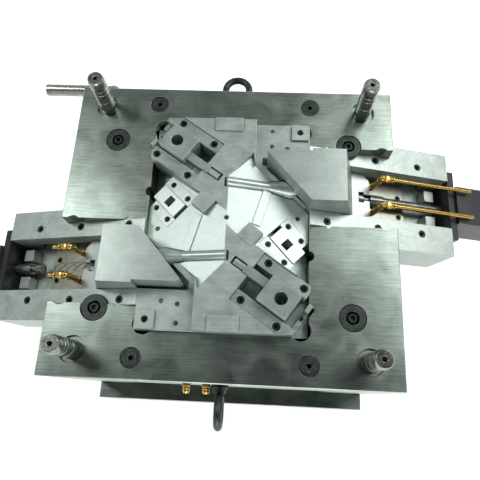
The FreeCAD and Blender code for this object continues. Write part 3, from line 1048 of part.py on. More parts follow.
# compression springs round the return pins, drawn in code: a closed helix has no primitive of its own
SPRING_LENGTH = "(%s + spring_pocket - %s)" % (SPACER_TOP, RETAINER_TOP)
wire = value_of("spring_wire")
coil_radius = (value_of("spring_dia") - wire) / 2
coil_length = value_of(SPRING_LENGTH) - wire - 0.6
helix = Part.makeHelix(coil_length / value_of("spring_turns"), coil_length, coil_radius)
profile = Part.Wire(Part.makeCircle(wire / 2, FreeCAD.Vector(coil_radius, 0, 0), FreeCAD.Vector(0, 1, 0)))
spring = doc.addObject("Part::Feature", "return_spring_one")
spring.Shape = Part.Wire(helix).makePipeShell([profile], True, True)
node(copies("return_springs", spring,
            [at(HERE, x, y, "%s + spring_wire/2 + 0.3" % RETAINER_TOP) for x, y in four(*RETURN_SPOT)]),
     "return_springs")

# --------------------------------------------------------------------------- outside hardware
eye_bolts = []
for word, turn, flip, sign in (("front", ALONG_MINUS_Y, "90", "-"), ("rear", ALONG_Y, "0", "")):
    start = ("0", sign + "plate_length/2", "%s - eye_drop" % TOP)
    face = pose(start, turn)
    name = "eye_bolt_" + word
    ring_rise = "(eye_collar_height + eye_ring_dia/2 - 3)"
    thread = rod(name + "_thread", "eye_thread_dia/2", "eye_thread_length + 5",
                 ("0", "0", "-eye_thread_length"),
                 face)
    collar = rod(name + "_collar", "eye_collar_dia/2", "5", ("0", "0", "0"), face)
    neck = cone(name + "_neck", "eye_collar_dia/2 - 3", "10", "eye_collar_height - 5", ("0", "0", "5"), face)
    ring = doc.addObject("Part::Torus", name + "_ring")
    ring.setExpression("Radius1", bound("(eye_ring_dia + eye_hole_dia)/4"))
    ring.setExpression("Radius2", bound("(eye_ring_dia - eye_hole_dia)/4"))
    put(ring, face, pose(("0", "0", ring_rise), (flip, "0", "90")))
    eye_bolts.append(fuse(name, [thread, collar, neck, ring]))
group("eye_bolts", eye_bolts)

nipples = []
for number in (0, 1):
    start = ("-nipple_x + %d*nipple_pitch" % number, "-plate_length/2", "%s - nipple_drop" % TOP)
    face = pose(start, ALONG_MINUS_Y)
    name = "nipple_%d" % (number + 1)
    thread = rod(name + "_thread", "nipple_dia/2 - nipple_step", "nipple_thread + 2",
                 ("0", "0", "-nipple_thread"), face)
    hexed = hexagon(name + "_hex", "nipple_dia + 2", "5", ("0", "0", "0"), face)
    barb = rod(name + "_barb", "nipple_dia/2", "nipple_length - 5", ("0", "0", "5"), face)
    tip = cone(name + "_tip", "nipple_dia/2 + nipple_barb", "nipple_dia/2 - nipple_step", "nipple_tip",
               ("0", "0", "nipple_length - nipple_tip"), face)
    solid = fuse(name + "_solid", [thread, hexed, barb, tip])
    hole = rod(name + "_bore", "nipple_bore_dia/2", "60", ("0", "0", "-30"), face)
    nipples.append(cut(name, solid, [hole]))
group("water_nipples", nipples)

face = pose((PIPE_X, "plate_length/2", "%s - pipe_drop" % TOP), ALONG_Y)
PIPE_Y = "(plate_length/2 + pipe_stand)"
stem = rod("pipe_stem", "pipe_dia/2 - 2", "pipe_thread + pipe_stand", ("0", "0", "-pipe_thread"), face)
pipe_nut = hexagon("pipe_nut", "pipe_dia + 6", "10", ("0", "0", "0"), face)
bend = ball("pipe_bend", "pipe_dia/2 + 1", ("0", "0", "pipe_stand"), face)
PIPE_Z = "(%s - pipe_drop)" % TOP
run = rod("pipe_run", "pipe_dia/2", "pipe_length", (PIPE_X, PIPE_Y, PIPE_Z), HERE, ALONG_MINUS_X)
pipe_solid = fuse("coolant_pipe_solid", [stem, pipe_nut, bend, run])
pipe_hole = rod("pipe_hollow", "pipe_dia/2 - pipe_wall", "pipe_length",
                (PIPE_X + " - 20", PIPE_Y, PIPE_Z),
                HERE, ALONG_MINUS_X)
node(cut("coolant_pipe", pipe_solid, [pipe_hole]), "coolant_pipe")

# --------------------------------------------------------------------------- check and write
doc.recompute()
faults = [obj.Name for obj in doc.Objects if "Invalid" in obj.State or "Error" in obj.State]
if faults:
    raise RuntimeError("failed objects: " + ", ".join(faults))
for obj in NODES:
    if obj.Shape.isNull() or not obj.Shape.isValid():
        raise RuntimeError("bad shape: " + obj.Label)
os.makedirs("parts", exist_ok=True)
for obj in NODES:
    obj.Shape.exportStep("parts/%s.step" % obj.Label)
    box = obj.Shape.BoundBox
    print("%-26s solids %2d  volume %10.0f  x %7.1f %7.1f  y %7.1f %7.1f  z %7.1f %7.1f"
          % (obj.Label, len(obj.Shape.Solids), obj.Shape.Volume,
             box.XMin, box.XMax, box.YMin, box.YMax, box.ZMin, box.ZMax))
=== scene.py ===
# %% [markdown]
# Moving half of an injection mould, dressed for a studio picture.
# The solid model is loaded as a fixed frame, and every piece keeps its real place and size.
# This script adds finishes, and the turned and forged pieces whose curves a coarse solid can't show.

import json
import math

import bmesh
import bpy
import numpy as np
from mathutils import Matrix, Vector


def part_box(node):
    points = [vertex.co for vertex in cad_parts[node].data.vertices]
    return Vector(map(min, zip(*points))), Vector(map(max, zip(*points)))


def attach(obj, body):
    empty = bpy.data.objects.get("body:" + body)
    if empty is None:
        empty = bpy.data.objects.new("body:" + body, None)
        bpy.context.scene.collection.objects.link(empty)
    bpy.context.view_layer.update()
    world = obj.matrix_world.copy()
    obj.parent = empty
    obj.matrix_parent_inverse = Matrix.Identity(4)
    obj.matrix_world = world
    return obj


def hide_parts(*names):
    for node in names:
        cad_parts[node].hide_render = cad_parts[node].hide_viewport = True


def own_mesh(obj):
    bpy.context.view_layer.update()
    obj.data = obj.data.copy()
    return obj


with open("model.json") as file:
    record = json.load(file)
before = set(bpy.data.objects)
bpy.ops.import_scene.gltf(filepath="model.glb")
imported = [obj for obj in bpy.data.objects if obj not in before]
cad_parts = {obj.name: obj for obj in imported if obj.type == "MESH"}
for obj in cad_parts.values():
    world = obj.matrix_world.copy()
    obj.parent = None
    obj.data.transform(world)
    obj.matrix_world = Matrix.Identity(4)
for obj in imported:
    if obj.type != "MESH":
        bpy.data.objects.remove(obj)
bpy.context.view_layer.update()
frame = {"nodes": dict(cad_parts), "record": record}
nodes = frame["nodes"]
MM = 0.001

# %% [markdown]
# The camera looks down on the parting face from the front, nearly square on.
# Its height and lens are those of a hand-held camera about 0.8 m above the plate.

# %% Camera
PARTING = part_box("core_plate")[1].z
CORE_TOP = round(PARTING, 2)
CAMERA_PLACE = Vector((0.06145, -0.28837, CORE_TOP + 0.79903))
CAMERA_TURN = (18.389, 1.4985, 2.7142)
CAMERA_LENS = 35.89


def add_camera():
    """A camera at the given place and turn, kept as the scene's own."""
    data = bpy.data.cameras.new("camera")
    data.lens = CAMERA_LENS
    data.sensor_width = 36.0
    data.shift_x = -0.0052
    data.shift_y = -0.0083
    data.clip_end = 100.0
    camera = bpy.data.objects.new("camera", data)
    camera.location = CAMERA_PLACE
    camera.rotation_euler = [math.radians(angle) for angle in CAMERA_TURN]
    bpy.context.scene.collection.objects.link(camera)
    bpy.context.scene.camera = camera
    return camera


camera = add_camera()
bpy.context.scene.view_settings.view_transform = "Standard"
print("camera at", [round(v, 3) for v in camera.location])

# %% [markdown]
# A shader is a chain of nodes, so one small helper adds a node, sets its sockets and joins its inputs.
# Colours are written as sRGB hex values, as a paint chart gives them, and turned to linear light once.

# %% Helpers for materials


def linear(hex_colour, alpha=1.0):
    """sRGB hex to linear red, green, blue and alpha."""
    values = [int(hex_colour[i:i + 2], 16) / 255 for i in (1, 3, 5)]
    return [v / 12.92 if v <= 0.04045 else ((v + 0.055) / 1.055) ** 2.4 for v in values] + [alpha]


def add(tree, kind, settings=None, links=None):
    """Adds a shader node; settings name its attributes or sockets, links join an input to an output."""
    made = tree.nodes.new("ShaderNode" + kind)
    for key, value in (settings or {}).items():
        if isinstance(key, int) or key in made.inputs:
            made.inputs[key].default_value = value
        else:
            setattr(made, key, value)
    for key, output in (links or {}).items():
        tree.links.new(output, made.inputs[key])
    return made


def new_material(name):
    """An empty material with its output and principled shader."""
    material = bpy.data.materials.new(name)
    material.use_nodes = True
    tree = material.node_tree
    tree.nodes.clear()
    out = add(tree, "OutputMaterial")
    shader = add(tree, "BsdfPrincipled")
    tree.links.new(shader.outputs[0], out.inputs[0])
    return material, tree, shader


def ramp(tree, source, stops):
    """Colour ramp over a grey value; stops are (place, linear colour)."""
    made = add(tree, "ValToRGB", links={0: source})
    elements = made.color_ramp.elements
    while len(elements) > len(stops):
        elements.remove(elements[-1])
    while len(elements) < len(stops):
        elements.new(0.5)
    for element, (place, colour) in zip(elements, stops):
        element.position = place
        element.color = colour
    return made.outputs[0]


def grey(value):
    return [value, value, value, 1.0]


# %% [markdown]
# Ground tool steel: a surface grinder leaves fine straight scratches all one way, a few millimetres apart
# where they catch the eye.  Oil and handling leave broad dim patches, and edges are rubbed bright. Corners,
# gaps and recesses get painted shade.
# The scratches are a stretched noise in object coordinates, so they keep their real size on every plate.

# %% Steel finishes


SCRATCH_STRETCH = 40
PAINTED_SHADE_REACH = 5 * MM


def steel(name, light, dark, rough, grain, turn=0.0, patch=40.0, bump=0.15, metallic=0.9,
          edge=0.7, edge_mm=0.8, painted_shade_depth=0.75):
    """Worked steel; grain: scratch spacing in mm, turn: its direction, patch: stain size in mm."""
    material, tree, shader = new_material(name)
    spot = add(tree, "TexCoord").outputs["Object"]
    stretch = {"Rotation": (0, 0, math.radians(turn)), "Scale": (1 / SCRATCH_STRETCH, 1.0, 1.0)}
    along = add(tree, "Mapping", stretch, {"Vector": spot}).outputs[0]
    fine = {"Scale": 1 / (grain * MM), "Detail": 4.0, "Roughness": 0.65}
    scratch = add(tree, "TexNoise", fine, {"Vector": along}).outputs[0]
    broad = {"Scale": 1 / (patch * MM), "Detail": 5.0, "Roughness": 0.6, "Distortion": 0.6}
    stains = add(tree, "TexNoise", broad, {"Vector": spot}).outputs[0]
    mottled = add(tree, "MixRGB", {"blend_type": "MIX", 0: 0.5}, {1: scratch, 2: stains}).outputs[0]
    colour = ramp(tree, mottled, [(0.32, linear(dark)), (0.64, linear(light))])
    rounded = add(tree, "Bevel", {"samples": 4, "Radius": edge_mm * MM}).outputs[0]
    flat = add(tree, "NewGeometry").outputs["Normal"]
    meet = add(tree, "VectorMath", {"operation": "DOT_PRODUCT"}, {0: rounded, 1: flat})
    worn = ramp(tree, meet.outputs["Value"], [(0.80, grey(edge)), (0.985, grey(0.0))])
    bare = {"blend_type": "MIX", 2: linear("#dfe6e1")}
    rubbed = add(tree, "MixRGB", bare, {0: worn, 1: colour}).outputs[0]
    # Painted shade: ambient occlusion within a few millimetres darkens the colour in corners, gaps and
    # recesses.
    crevice = add(tree, "AmbientOcclusion", {"samples": 6, "Distance": PAINTED_SHADE_REACH}).outputs["AO"]
    painted_corner_shade = ramp(tree, crevice, [(0.35, grey(1 - painted_shade_depth)), (0.8, grey(1.0))])
    colour_with_painted_shade = add(tree, "MixRGB", {"blend_type": "MULTIPLY", 0: 1.0}, {1: rubbed, 2: painted_corner_shade}).outputs[0]
    sheen = {"To Min": rough - 0.07, "To Max": rough + 0.12}
    uneven = add(tree, "MapRange", sheen, {"Value": stains}).outputs[0]
    ridges = {"Strength": bump, "Distance": 0.0004}
    relief = add(tree, "Bump", ridges, {"Height": scratch, "Normal": rounded})
    shader.inputs["Metallic"].default_value = metallic
    tree.links.new(colour_with_painted_shade, shader.inputs["Base Color"])
    tree.links.new(uneven, shader.inputs["Roughness"])
    tree.links.new(relief.outputs[0], shader.inputs["Normal"])
    return material


ground_steel = steel("surface ground plate steel", "#a9b6ad", "#6b796f", 0.30, 1.6,
                     turn=90.0, patch=60.0, metallic=1.0)
milled_steel = steel("milled insert steel", "#c2cec8", "#98a69f", 0.38, 1.1,
                     turn=20.0, patch=25.0, metallic=0.6)
fine_steel = steel("polished slide steel", "#b9c5bf", "#97a49d", 0.32, 0.9, turn=90.0, patch=30.0, bump=0.08,
                   metallic=0.65)
gib_steel = steel("hardened gib steel", "#bcc7c1", "#8d9a93", 0.36, 1.2, turn=0.0, patch=20.0, metallic=0.7)
pin_steel = steel("ground pin steel", "#a7aca4", "#555c56", 0.20, 0.8, turn=0.0, patch=12.0, bump=0.05)
dark_steel = steel("oil blackened steel", "#4b554f", "#252b28", 0.40, 1.5, patch=10.0,
                   metallic=0.85, edge=0.4)
screw_steel = steel("black oxide screw steel", "#3a413e", "#1a1e1d", 0.38, 1.5, patch=4.0,
                    metallic=0.8, edge=0.5, edge_mm=0.4)
wear_steel = steel("lapped wear plate steel", "#a9aa9b", "#7a7c70", 0.30, 1.2, turn=45.0, patch=15.0)
ejector_steel = steel("rough ground ejector steel", "#98a39b", "#6a766e", 0.42, 2.0, turn=0.0, patch=50.0)
brass = steel("turned brass", "#e0c06a", "#a47f35", 0.20, 0.8, patch=6.0, bump=0.1, metallic=1.0, edge=0.6)
pipe_metal = steel("zinc plated pipe", "#b5b8b2", "#7d807a", 0.26, 1.5, patch=10.0)


def paint(name, colour, rough, grit=0.6):
    """Sprayed enamel: even colour, a low orange-peel ripple and a soft gloss."""
    material, tree, shader = new_material(name)
    spot = add(tree, "TexCoord").outputs["Object"]
    peel = add(tree, "TexNoise", {"Scale": 1 / (grit * 3 * MM), "Detail": 2.0}, {"Vector": spot}).outputs[0]
    dust = add(tree, "TexNoise", {"Scale": 1 / (30 * MM), "Detail": 5.0}, {"Vector": spot}).outputs[0]
    base = linear(colour)
    paler = [min(1.0, v * 1.7 + 0.01) for v in base[:3]] + [1.0]
    tint = ramp(tree, dust, [(0.4, base), (0.75, paler)])
    relief = add(tree, "Bump", {"Strength": 0.2, "Distance": 0.0003}, {"Height": peel}).outputs[0]
    shader.inputs["Roughness"].default_value = rough
    tree.links.new(tint, shader.inputs["Base Color"])
    tree.links.new(relief, shader.inputs["Normal"])
    return material


black_paint = paint("black enamel", "#15171a", 0.38)
spring_paint = paint("red spring enamel", "#8c231c", 0.35)

FINISHES = {
    "ground_plate_steel": ground_steel, "milled_core_steel": milled_steel, "polished_core_steel": fine_steel,
    "gib_steel": gib_steel, "wear_bronze_grey": wear_steel, "hardened_pin_steel": pin_steel,
    "dark_hardened_steel": dark_steel, "black_screw_steel": screw_steel, "brass": brass,
    "cylinder_black": black_paint, "pipe_steel": pipe_metal, "ejector_steel": ejector_steel,
    "spring_steel": spring_paint,
}
for part in frame["record"]["subparts"]:
    mesh = nodes[part["node"]].data
    mesh.materials.clear()
    mesh.materials.append(FINISHES[part["material_slot"]])
print("finishes", len(FINISHES))

# %% [markdown]
# The rest of the script models the turned, forged and bent pieces anew, and lays each in place of its solid.
# Where a piece sits is measured on the solid: its middle, the line of its axis, its length and its radii.

# %% Measuring the solids and shaping pieces
SLOPE = math.radians(15)
LINES = [Vector(v) for v in ((0, 0, 1), (0, 1, 0), (1, 0, 0), (math.sin(SLOPE), 0, math.cos(SLOPE)),
                             (-math.sin(SLOPE), 0, math.cos(SLOPE)), (math.cos(SLOPE), 0, math.sin(SLOPE)),
                             (math.cos(SLOPE), 0, -math.sin(SLOPE)))]


def islands(node):
    """The corner points of each closed piece of a node."""
    shape = bmesh.new()
    shape.from_mesh(nodes[node].data)
    bmesh.ops.remove_doubles(shape, verts=shape.verts, dist=0.002 * MM)
    left = set(shape.verts)
    found = []
    while left:
        front = [left.pop()]
        points = []
        while front:
            vert = front.pop()
            points.append(tuple(vert.co))
            near = {edge.other_vert(vert) for edge in vert.link_edges} & left
            left -= near
            front.extend(near)
        found.append(np.array(points))
    shape.free()
    return found


def measured(node, wide=False):
    """Of each piece: a matrix on its thicker end with +Z out of it, the length and the greatest radius."""
    result = []
    for points in islands(node):
        spread = np.linalg.svd(points - points.mean(axis=0), full_matrices=False)[2]
        rough = Vector(spread[2 if wide else 0])
        line = max(LINES, key=lambda way: abs(way.dot(rough))).copy()
        side = line.orthogonal().normalized()
        other = line.cross(side)
        along, across, over = (points @ np.array(way) for way in (line, side, other))
        middle = side * float(across.min() + across.max()) / 2
        middle += other * float(over.min() + over.max()) / 2
        radii = np.hypot(across - float(side.dot(middle)), over - float(other.dot(middle)))
        low, high = float(along.min()), float(along.max())
        band = (high - low) * 0.08
        thick_low = radii[along < low + band].max()
        thick_high = radii[along > high - band].max()
        end, way = (high, line) if thick_high >= thick_low else (low, -line)
        turn = way.to_track_quat("Z", "Y").to_matrix().to_4x4()
        result.append((Matrix.Translation(middle + line * end) @ turn, high - low, float(radii.max())))
    return result


def lathe(shape, points, steps=48):
    """Turns a profile of (radius, height) in millimetres about Z and closes it."""
    verts = [shape.verts.new((radius * MM, 0, height * MM)) for radius, height in points]
    edges = [shape.edges.new(pair) for pair in zip(verts, verts[1:])]
    bmesh.ops.spin(shape, geom=verts + edges, axis=(0, 0, 1), cent=(0, 0, 0), steps=steps, angle=math.tau,
                   use_merge=True)
    bmesh.ops.remove_doubles(shape, verts=shape.verts, dist=1e-6)
    bmesh.ops.recalc_face_normals(shape, faces=shape.faces)


def hexagon(shape, flats, low, high):
    """A hexagonal nut or wrench body between two heights, with its edges broken."""
    corner = flats * MM / math.sqrt(3)
    middle = Matrix.Translation((0, 0, (low + high) / 2 * MM))
    made = bmesh.ops.create_cone(shape, segments=6, radius1=corner, radius2=corner,
                                 depth=(high - low) * MM, cap_ends=True, matrix=middle)
    edges = {edge for vert in made["verts"] for edge in vert.link_edges}
    bmesh.ops.bevel(shape, geom=list(edges), offset=0.4 * MM, offset_type="OFFSET", segments=2, profile=0.5,
                    affect="EDGES", material=-1)


def place(name, finish, body, slot, shapes, replaced=()):
    """Joins placed shapes into one smooth-shaded piece that rides on a body."""
    whole = bmesh.new()
    for shape, matrix in shapes:
        shape.transform(matrix)
        part = bpy.data.meshes.new("part")
        shape.to_mesh(part)
        whole.from_mesh(part)
        bpy.data.meshes.remove(part)
    mesh = bpy.data.meshes.new(name)
    whole.to_mesh(mesh)
    whole.free()
    for shape, matrix in shapes:
        shape.free()
    mesh.materials.append(finish)
    mesh.shade_smooth()
    mesh.set_sharp_from_angle(angle=math.radians(32))
    piece = bpy.data.objects.new(name, mesh)
    bpy.context.scene.collection.objects.link(piece)
    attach(piece, body)
    if replaced:
        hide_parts(*replaced)
    return piece


# %% [markdown]
# Socket head cap screws are forged and rolled: a round head with a broken edge, a hexagonal key socket
# and a plain shank.  Their black oxide skin wears off first round the rim of the socket, so edges show grey.

# %% Cap screws


def ring_to(shape, edges, radius, height):
    """Extrudes a loop of edges to a radius and a height in millimetres."""
    made = bmesh.ops.extrude_edge_only(shape, edges=edges)["geom"]
    for vert in (item for item in made if isinstance(item, bmesh.types.BMVert)):
        flat = Vector((vert.co.x, vert.co.y, 0)).normalized()
        vert.co = flat * radius * MM + Vector((0, 0, height * MM))
    return [item for item in made if isinstance(item, bmesh.types.BMEdge) and len(item.link_faces) == 1]


def cap_screw(dia, length):
    """A screw hanging down -Z from the top of its head."""
    shape = bmesh.new()
    head = 0.75 * dia
    rim = bmesh.ops.create_circle(shape, segments=36, radius=(head - 0.08 * dia) * MM)["verts"]
    key = bmesh.ops.create_circle(shape, segments=6, radius=0.48 * dia * MM)["verts"]
    outer = list({edge for vert in rim for edge in vert.link_edges})
    inner = list({edge for vert in key for edge in vert.link_edges})
    bmesh.ops.bridge_loops(shape, edges=outer + inner)
    floor_loop = ring_to(shape, inner, 0.44 * dia, -0.55 * dia)
    bmesh.ops.contextual_create(shape, geom=floor_loop)
    profile = [(head, -0.08 * dia), (head, -0.97 * dia), (head - 0.03 * dia, -dia), (dia / 2, -dia),
               (dia / 2, 1 - length), (dia / 2 - 1, -length)]
    for radius, height in profile:
        outer = ring_to(shape, outer, radius, height)
    bmesh.ops.contextual_create(shape, geom=outer)
    bmesh.ops.recalc_face_normals(shape, faces=shape.faces)
    return shape


BODIES = frame["record"]["behaviour"]["bodies"]
BODY_OF = {node: body for body, held in BODIES.items() for node in held}
SLOT_OF = {part["node"]: part["material_slot"] for part in frame["record"]["subparts"]}
screw_nodes = [node for node in nodes if node.endswith("_screws")]
for node in screw_nodes:
    set_of_screws = [(cap_screw(radius / 0.75 / MM, length / MM), matrix)
                     for matrix, length, radius in measured(node)]
    place("cap_" + node, screw_steel, BODY_OF[node], SLOT_OF[node], set_of_screws, [node])
print("screw sets", len(screw_nodes))

# %% [markdown]
# Guide pillars are case hardened and ground on centres, which leaves the small centre hole in the tip.
# Ring grooves hold grease, and the tip is tapered so that it finds the bush of the other half.

# %% Guide pillars


def guide_pillar(length):
    """A shouldered pillar standing up -Z from the foot of its head."""
    shape = bmesh.new()
    tip = -length
    points = [(0, 0), (17.5, 0), (18, -0.5), (18, -7.5), (17.5, -8), (15, -8)]
    for groove in (tip + 58, tip + 34, tip + 24):
        points += [(15, groove + 1.6), (14.3, groove + 1.1), (14.3, groove - 1.1), (15, groove - 1.6)]
    points += [(15, tip + 6), (14.6, tip + 4.6), (13.4, tip + 0.8), (12.6, tip), (4.5, tip),
               (3.2, tip + 2.4), (3.2, tip + 12), (0, tip + 14)]
    lathe(shape, points, 64)
    return shape


pillars = [(guide_pillar(length / MM), matrix) for matrix, length, radius in measured("guide_pillars")]
place("pillar_set", pin_steel, "mould_half", "hardened_pin_steel", pillars, ["guide_pillars"])
print("guide pillars", len(pillars))

# %% [markdown]
# Support discs are hardened washers let into the face, and take the blow of the closing mould.
# The return pins end flush with it: a turned ring marks each pin, whose rim is rubbed bright.

# %% Support discs and return pins


def support_disc(length, radius):
    """A sunk washer hanging down -Z from its face."""
    shape = bmesh.new()
    lathe(shape, [(11, 1.6 - length), (11, -1), (12, 0), (radius - 1.2, 0), (radius, -1.2),
                  (radius, -length), (5.2, -length), (5.2, 1.6 - length), (11, 1.6 - length)], 64)
    return shape


def return_pin(length):
    """A headed pin standing up -Z from the foot of its head."""
    shape = bmesh.new()
    top = -length
    lathe(shape, [(0, 0), (20.6, 0), (21, -0.4), (21, -7.5), (20.6, -7.9), (17.5, -7.9), (17.5, top + 1.2),
                  (16.6, top + 0.2), (16.3, top), (11.2, top), (10.9, top + 1), (9.3, top + 1), (9, top),
                  (4.8, top), (4, top + 0.8), (4, top + 12), (0, top + 14)], 64)
    return shape


discs = [(support_disc(length / MM, radius / MM), matrix)
         for matrix, length, radius in measured("support_discs", wide=True)]
place("disc_set", dark_steel, "mould_half", "dark_hardened_steel", discs, ["support_discs"])
pins = [(return_pin(length / MM), matrix) for matrix, length, radius in measured("return_pins")]
place("return_pin_set", dark_steel, "ejector_set", "dark_hardened_steel", pins, ["return_pins"])
print("discs", len(discs), "return pins", len(pins))

# %% [markdown]
# Return springs are wound from red enamelled wire round the return pins, with one dead coil at each end.
# Their top ends sit in pockets of the support plate; the piece is held on the mould half.

# %% Return springs
SPRING_TURNS = 5
WIRE = 3.5
COIL = 25.5


def coil_spring(low, high):
    """A compression spring standing up Z between two heights in millimetres."""
    shape = bmesh.new()
    start = Matrix.Translation((COIL * MM, 0, (low + WIRE) * MM)) @ Matrix.Rotation(math.pi / 2, 4, "X")
    bmesh.ops.create_circle(shape, segments=14, radius=WIRE * MM, matrix=start)
    grip = list(shape.verts) + list(shape.edges)
    dead = 2 * WIRE * 1.03
    rise = (high - low - 2 * WIRE - 2 * dead) / SPRING_TURNS
    for turns, pitch in ((1, dead), (SPRING_TURNS, rise), (1, dead)):
        steps = 28 * turns
        made = bmesh.ops.spin(shape, geom=grip, axis=(0, 0, 1), cent=(0, 0, 0), steps=steps,
                              angle=math.tau * turns, dvec=(0, 0, pitch * turns * MM / steps))
        grip = made["geom_last"]
    bmesh.ops.holes_fill(shape, edges=shape.edges)
    bmesh.ops.recalc_face_normals(shape, faces=shape.faces)
    return shape


POCKET_DEPTH = 40
retainer_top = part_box("ejector_retainer_plate")[1].z / MM
pocket_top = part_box("support_plate")[0].z / MM + POCKET_DEPTH
springs = []
for matrix, length, radius in measured("return_pins"):
    spot = Matrix.Translation((matrix.translation.x, matrix.translation.y, 0))
    springs.append((coil_spring(retainer_top + 0.3, pocket_top - 0.3), spot))
spring_set = place("spring_set", spring_paint, "mould_half", "spring_steel", springs, ["return_springs"])
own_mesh(spring_set)

# %% [markdown]
# Cooling water reaches each big slide through two brass elbows: a port nut screwed into the slide's back,
# a riser and a hose tail lying along the slide.  On one side the tails carry long thin brass tubes, on
# the other they end in short barbs.  Brass parts are turned bar, so they show crisp rims and hexagons.

# %% Brass elbows
TAIL = 31
STAND = 8
SPREAD = 52
DEPTH = 31
RISE = 44
STEM = [(0, 3), (5.4, 3), (5.4, 4), (4.9, 4.6), (4.9, 15.4), (5.7, 16), (5.7, 17.6), (4.4, 18.2),
        (4.4, 19.4), (6.0, 19.9), (6.3, 20.6), (6.3, 21.6)]
TUBE = [(4.0, 22.6), (3.25, 23.4), (3.25, 186.5), (2.9, 187), (2.1, 187), (2.1, 60), (0, 60)]
BARB = [(4.2, 22.2), (3.4, 22.6), (4.4, 23.4), (3.4, 27), (4.4, 27.6), (3.4, 31.4), (4.2, 32), (3.2, 36),
        (2.3, 36), (2.3, 26), (0, 26)]


def rail_frame(turn):
    """x up the slope of the gib tops towards the middle, from where they leave the plate's edge."""
    level = Matrix.Translation((0, 0, PARTING)) @ Matrix.Rotation(math.radians(turn), 4, "Z")
    return level @ Matrix.Translation((-0.3, -0.077, -0.0332)) @ Matrix.Rotation(-SLOPE, 4, "Y")


def elbow(frame_matrix, side, tail):
    """The nut, riser, two bends, hexagon and tail of one fitting, as placed shapes."""
    def at(x, z, turn=0.0):
        spot = Matrix.Translation((x * MM, side * SPREAD / 2 * MM, z * MM))
        return frame_matrix @ spot @ Matrix.Rotation(math.radians(turn), 4, "Y")

    made = []

    def piece(matrix):
        made.append((bmesh.new(), matrix))
        return made[-1][0]

    x, top = TAIL - STAND, RISE - DEPTH
    hexagon(piece(at(x, -DEPTH, 90)), 14, 2.2, STAND - 0.3)
    lathe(piece(at(x, -DEPTH, 90)), [(0, 0), (5.6, 0), (7.2, 0.6), (7.2, 2), (4, 2.4), (4, STAND + 8),
                                     (0, STAND + 8)])
    for height in (-DEPTH, top):
        bmesh.ops.create_uvsphere(piece(at(x, height)), u_segments=28, v_segments=18, radius=6.1 * MM)
    lathe(piece(at(x, -DEPTH)), [(0, 2), (4.8, 2), (4.8, 9), (6.4, 9.6), (6.6, 12), (6.4, 13.4), (4.8, 14),
                                 (4.6, 30), (6.2, 30.6), (6.4, 33), (6.2, 34.4), (4.8, 35),
                                 (4.8, RISE - 2), (0, RISE - 2)])
    hexagon(piece(at(x, top, -90)), 13, 5, 15)
    lathe(piece(at(x, top, -90)), STEM + tail)
    return made


for side_name, turn, tail in (("left", 0, BARB), ("right", 180, TUBE)):
    shapes = elbow(rail_frame(turn), 1, tail) + elbow(rail_frame(turn), -1, tail)
    place("brass_elbows_" + side_name, brass, "slide_" + side_name, "brass", shapes,
          ["coolant_fittings_" + side_name])
print("brass elbows 4")

# %% [markdown]
# Water nipples on the front edge are turned brass with a hexagon and a barbed end for a push-on hose.

# %% Water nipples


def nipple(length):
    """A hose nipple along +Z, its thread's end at the origin."""
    shape = bmesh.new()
    face = length - 16
    lathe(shape, [(0, 0), (4.6, 0), (5, 0.5), (5, face), (5.8, face + 5), (5.2, face + 6), (6.5, face + 8),
                  (5.2, face + 10.5), (6.5, face + 11.5), (4.8, face + 15.6), (4.4, face + 16),
                  (3.5, face + 16), (3.5, 1), (0, 1)], 40)
    hexagon(shape, 14, face, face + 5)
    return shape


low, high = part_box("water_nipples")
drop = (low.z + high.z) / 2
inset = (high.z - low.z) / math.sqrt(3)
nipples = []
for x in (low.x + inset, high.x - inset):
    nipples.append((nipple((high.y - low.y) / MM), Matrix.Translation((x, high.y, drop)) @
                    Matrix.Rotation(math.pi / 2, 4, "X")))
place("nipple_set", brass, "mould_half", "brass", nipples, ["water_nipples"])
print("nipples", len(nipples))

# %% [markdown]
# Hydraulic cylinders are block cylinders: four long tie screws run through the body, whose heads sit in the
# rear cap, and two ports are closed with plugs.  Their enamel is sprayed over body and caps alike.

# %% Cylinder hardware
BARREL_BACK = 335
BARREL_SIDE = 76
ROD_DEPTH = 34
for side_name, turn in (("left", 0), ("right", 180)):
    frame_matrix = rail_frame(turn)
    hardware = []
    for across in (-28, 28):
        for up in (-28, 28):
            spot = Matrix.Translation((-(BARREL_BACK + 1.2) * MM, across * MM, (up - ROD_DEPTH) * MM))
            hardware.append((cap_screw(8, 12), frame_matrix @ spot @ Matrix.Rotation(-math.pi / 2, 4, "Y")))
    for along in (173, 301):
        spot = Matrix.Translation((-along * MM, -(BARREL_SIDE / 2 + 0.6) * MM, -ROD_DEPTH * MM))
        hardware.append((cap_screw(10.4, 14), frame_matrix @ spot @ Matrix.Rotation(math.pi / 2, 4, "X")))
    place("cylinder_screws_" + side_name, screw_steel, "mould_half", "black_screw_steel", hardware)
print("cylinder hardware 2 sets")

# %% [markdown]
# The studio: a pale floor, a room that is bright near the horizon and dim overhead, and three soft boxes.
# Bare steel shows what it mirrors, so the dim ceiling gives the dark middle of the plate,
# two soft boxes give the pale sweeps left and right, and the third, low in front, lifts the near side.

# %% Floor, room and lamps
FLOOR_SIDE = 14.0
FLOOR_GLOW = 0.6
AIM = (0, 0, 0.3)
SOFT_BOXES = [("left", (-1.55, 0.65, 2.6), (0.8, 1.1), 20), ("right", (1.6, 1.1, 2.6), (1.7, 1.6), 46),
              ("front", (0.2, -2.6, 1.1), (1.8, 1.2), 34)]


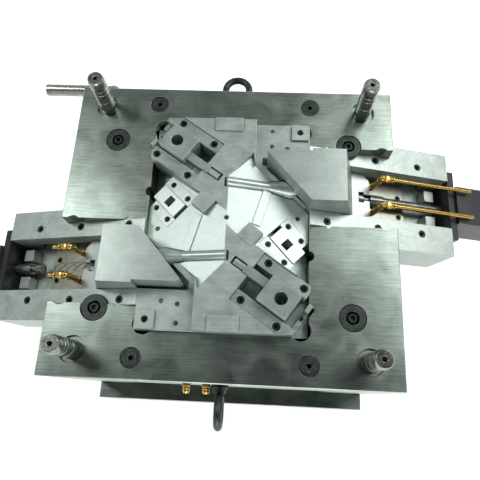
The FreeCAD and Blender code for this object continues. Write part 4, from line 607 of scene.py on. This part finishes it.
def add_floor():
    """A wide pale floor under the clamp plate."""
    shape = bmesh.new()
    bmesh.ops.create_grid(shape, x_segments=1, y_segments=1, size=FLOOR_SIDE / 2)
    mesh = bpy.data.meshes.new("floor")
    shape.to_mesh(mesh)
    shape.free()
    floor = bpy.data.objects.new("floor", mesh)
    bpy.context.scene.collection.objects.link(floor)
    material, tree, shader = new_material("pale studio floor")
    rays = add(tree, "LightPath").outputs
    seen = rays["Is Camera Ray"]
    for ray in ("Is Glossy Ray", "Is Transmission Ray"):
        seen = add(tree, "Math", {"operation": "MAXIMUM"}, {0: seen, 1: rays[ray]}).outputs[0]
    glow = add(tree, "Math", {"operation": "MULTIPLY", 1: FLOOR_GLOW}, {0: seen}).outputs[0]
    shader.inputs["Base Color"].default_value = linear("#f4f4f2")
    shader.inputs["Roughness"].default_value = 0.9
    shader.inputs["Emission Color"].default_value = (1, 1, 1, 1)
    tree.links.new(glow, shader.inputs["Emission Strength"])
    mesh.materials.append(material)
    return floor


def add_room():
    """World light: pale at the horizon, dim at the zenith."""
    world = bpy.data.worlds.new("studio")
    world.use_nodes = True
    tree = world.node_tree
    tree.nodes.clear()
    way = add(tree, "TexCoord").outputs["Generated"]
    height = add(tree, "SeparateXYZ", links={0: way}).outputs[2]
    shade = ramp(tree, height, [(0.0, grey(0.7)), (0.5, grey(0.45)), (0.8, grey(0.16)), (0.96, grey(0.005))])
    back = add(tree, "Background", {"Strength": 1.0}, {"Color": shade})
    add(tree, "OutputWorld", links={0: back.outputs[0]})
    bpy.context.scene.world = world


def soft_box(name, spot, aim, size, power):
    """A rectangular area lamp pointed at a spot."""
    data = bpy.data.lights.new(name, "AREA")
    data.shape = "RECTANGLE"
    data.size, data.size_y = size
    data.energy = power
    lamp = bpy.data.objects.new(name, data)
    lamp.location = spot
    lamp.rotation_euler = (Vector(aim) - Vector(spot)).to_track_quat("-Z", "Y").to_euler()
    bpy.context.scene.collection.objects.link(lamp)
    return lamp


floor = add_floor()
add_room()
for side_name, spot, size, power in SOFT_BOXES:
    soft_box("soft box " + side_name, spot, AIM, size, power)
print("lamps", len(SOFT_BOXES))
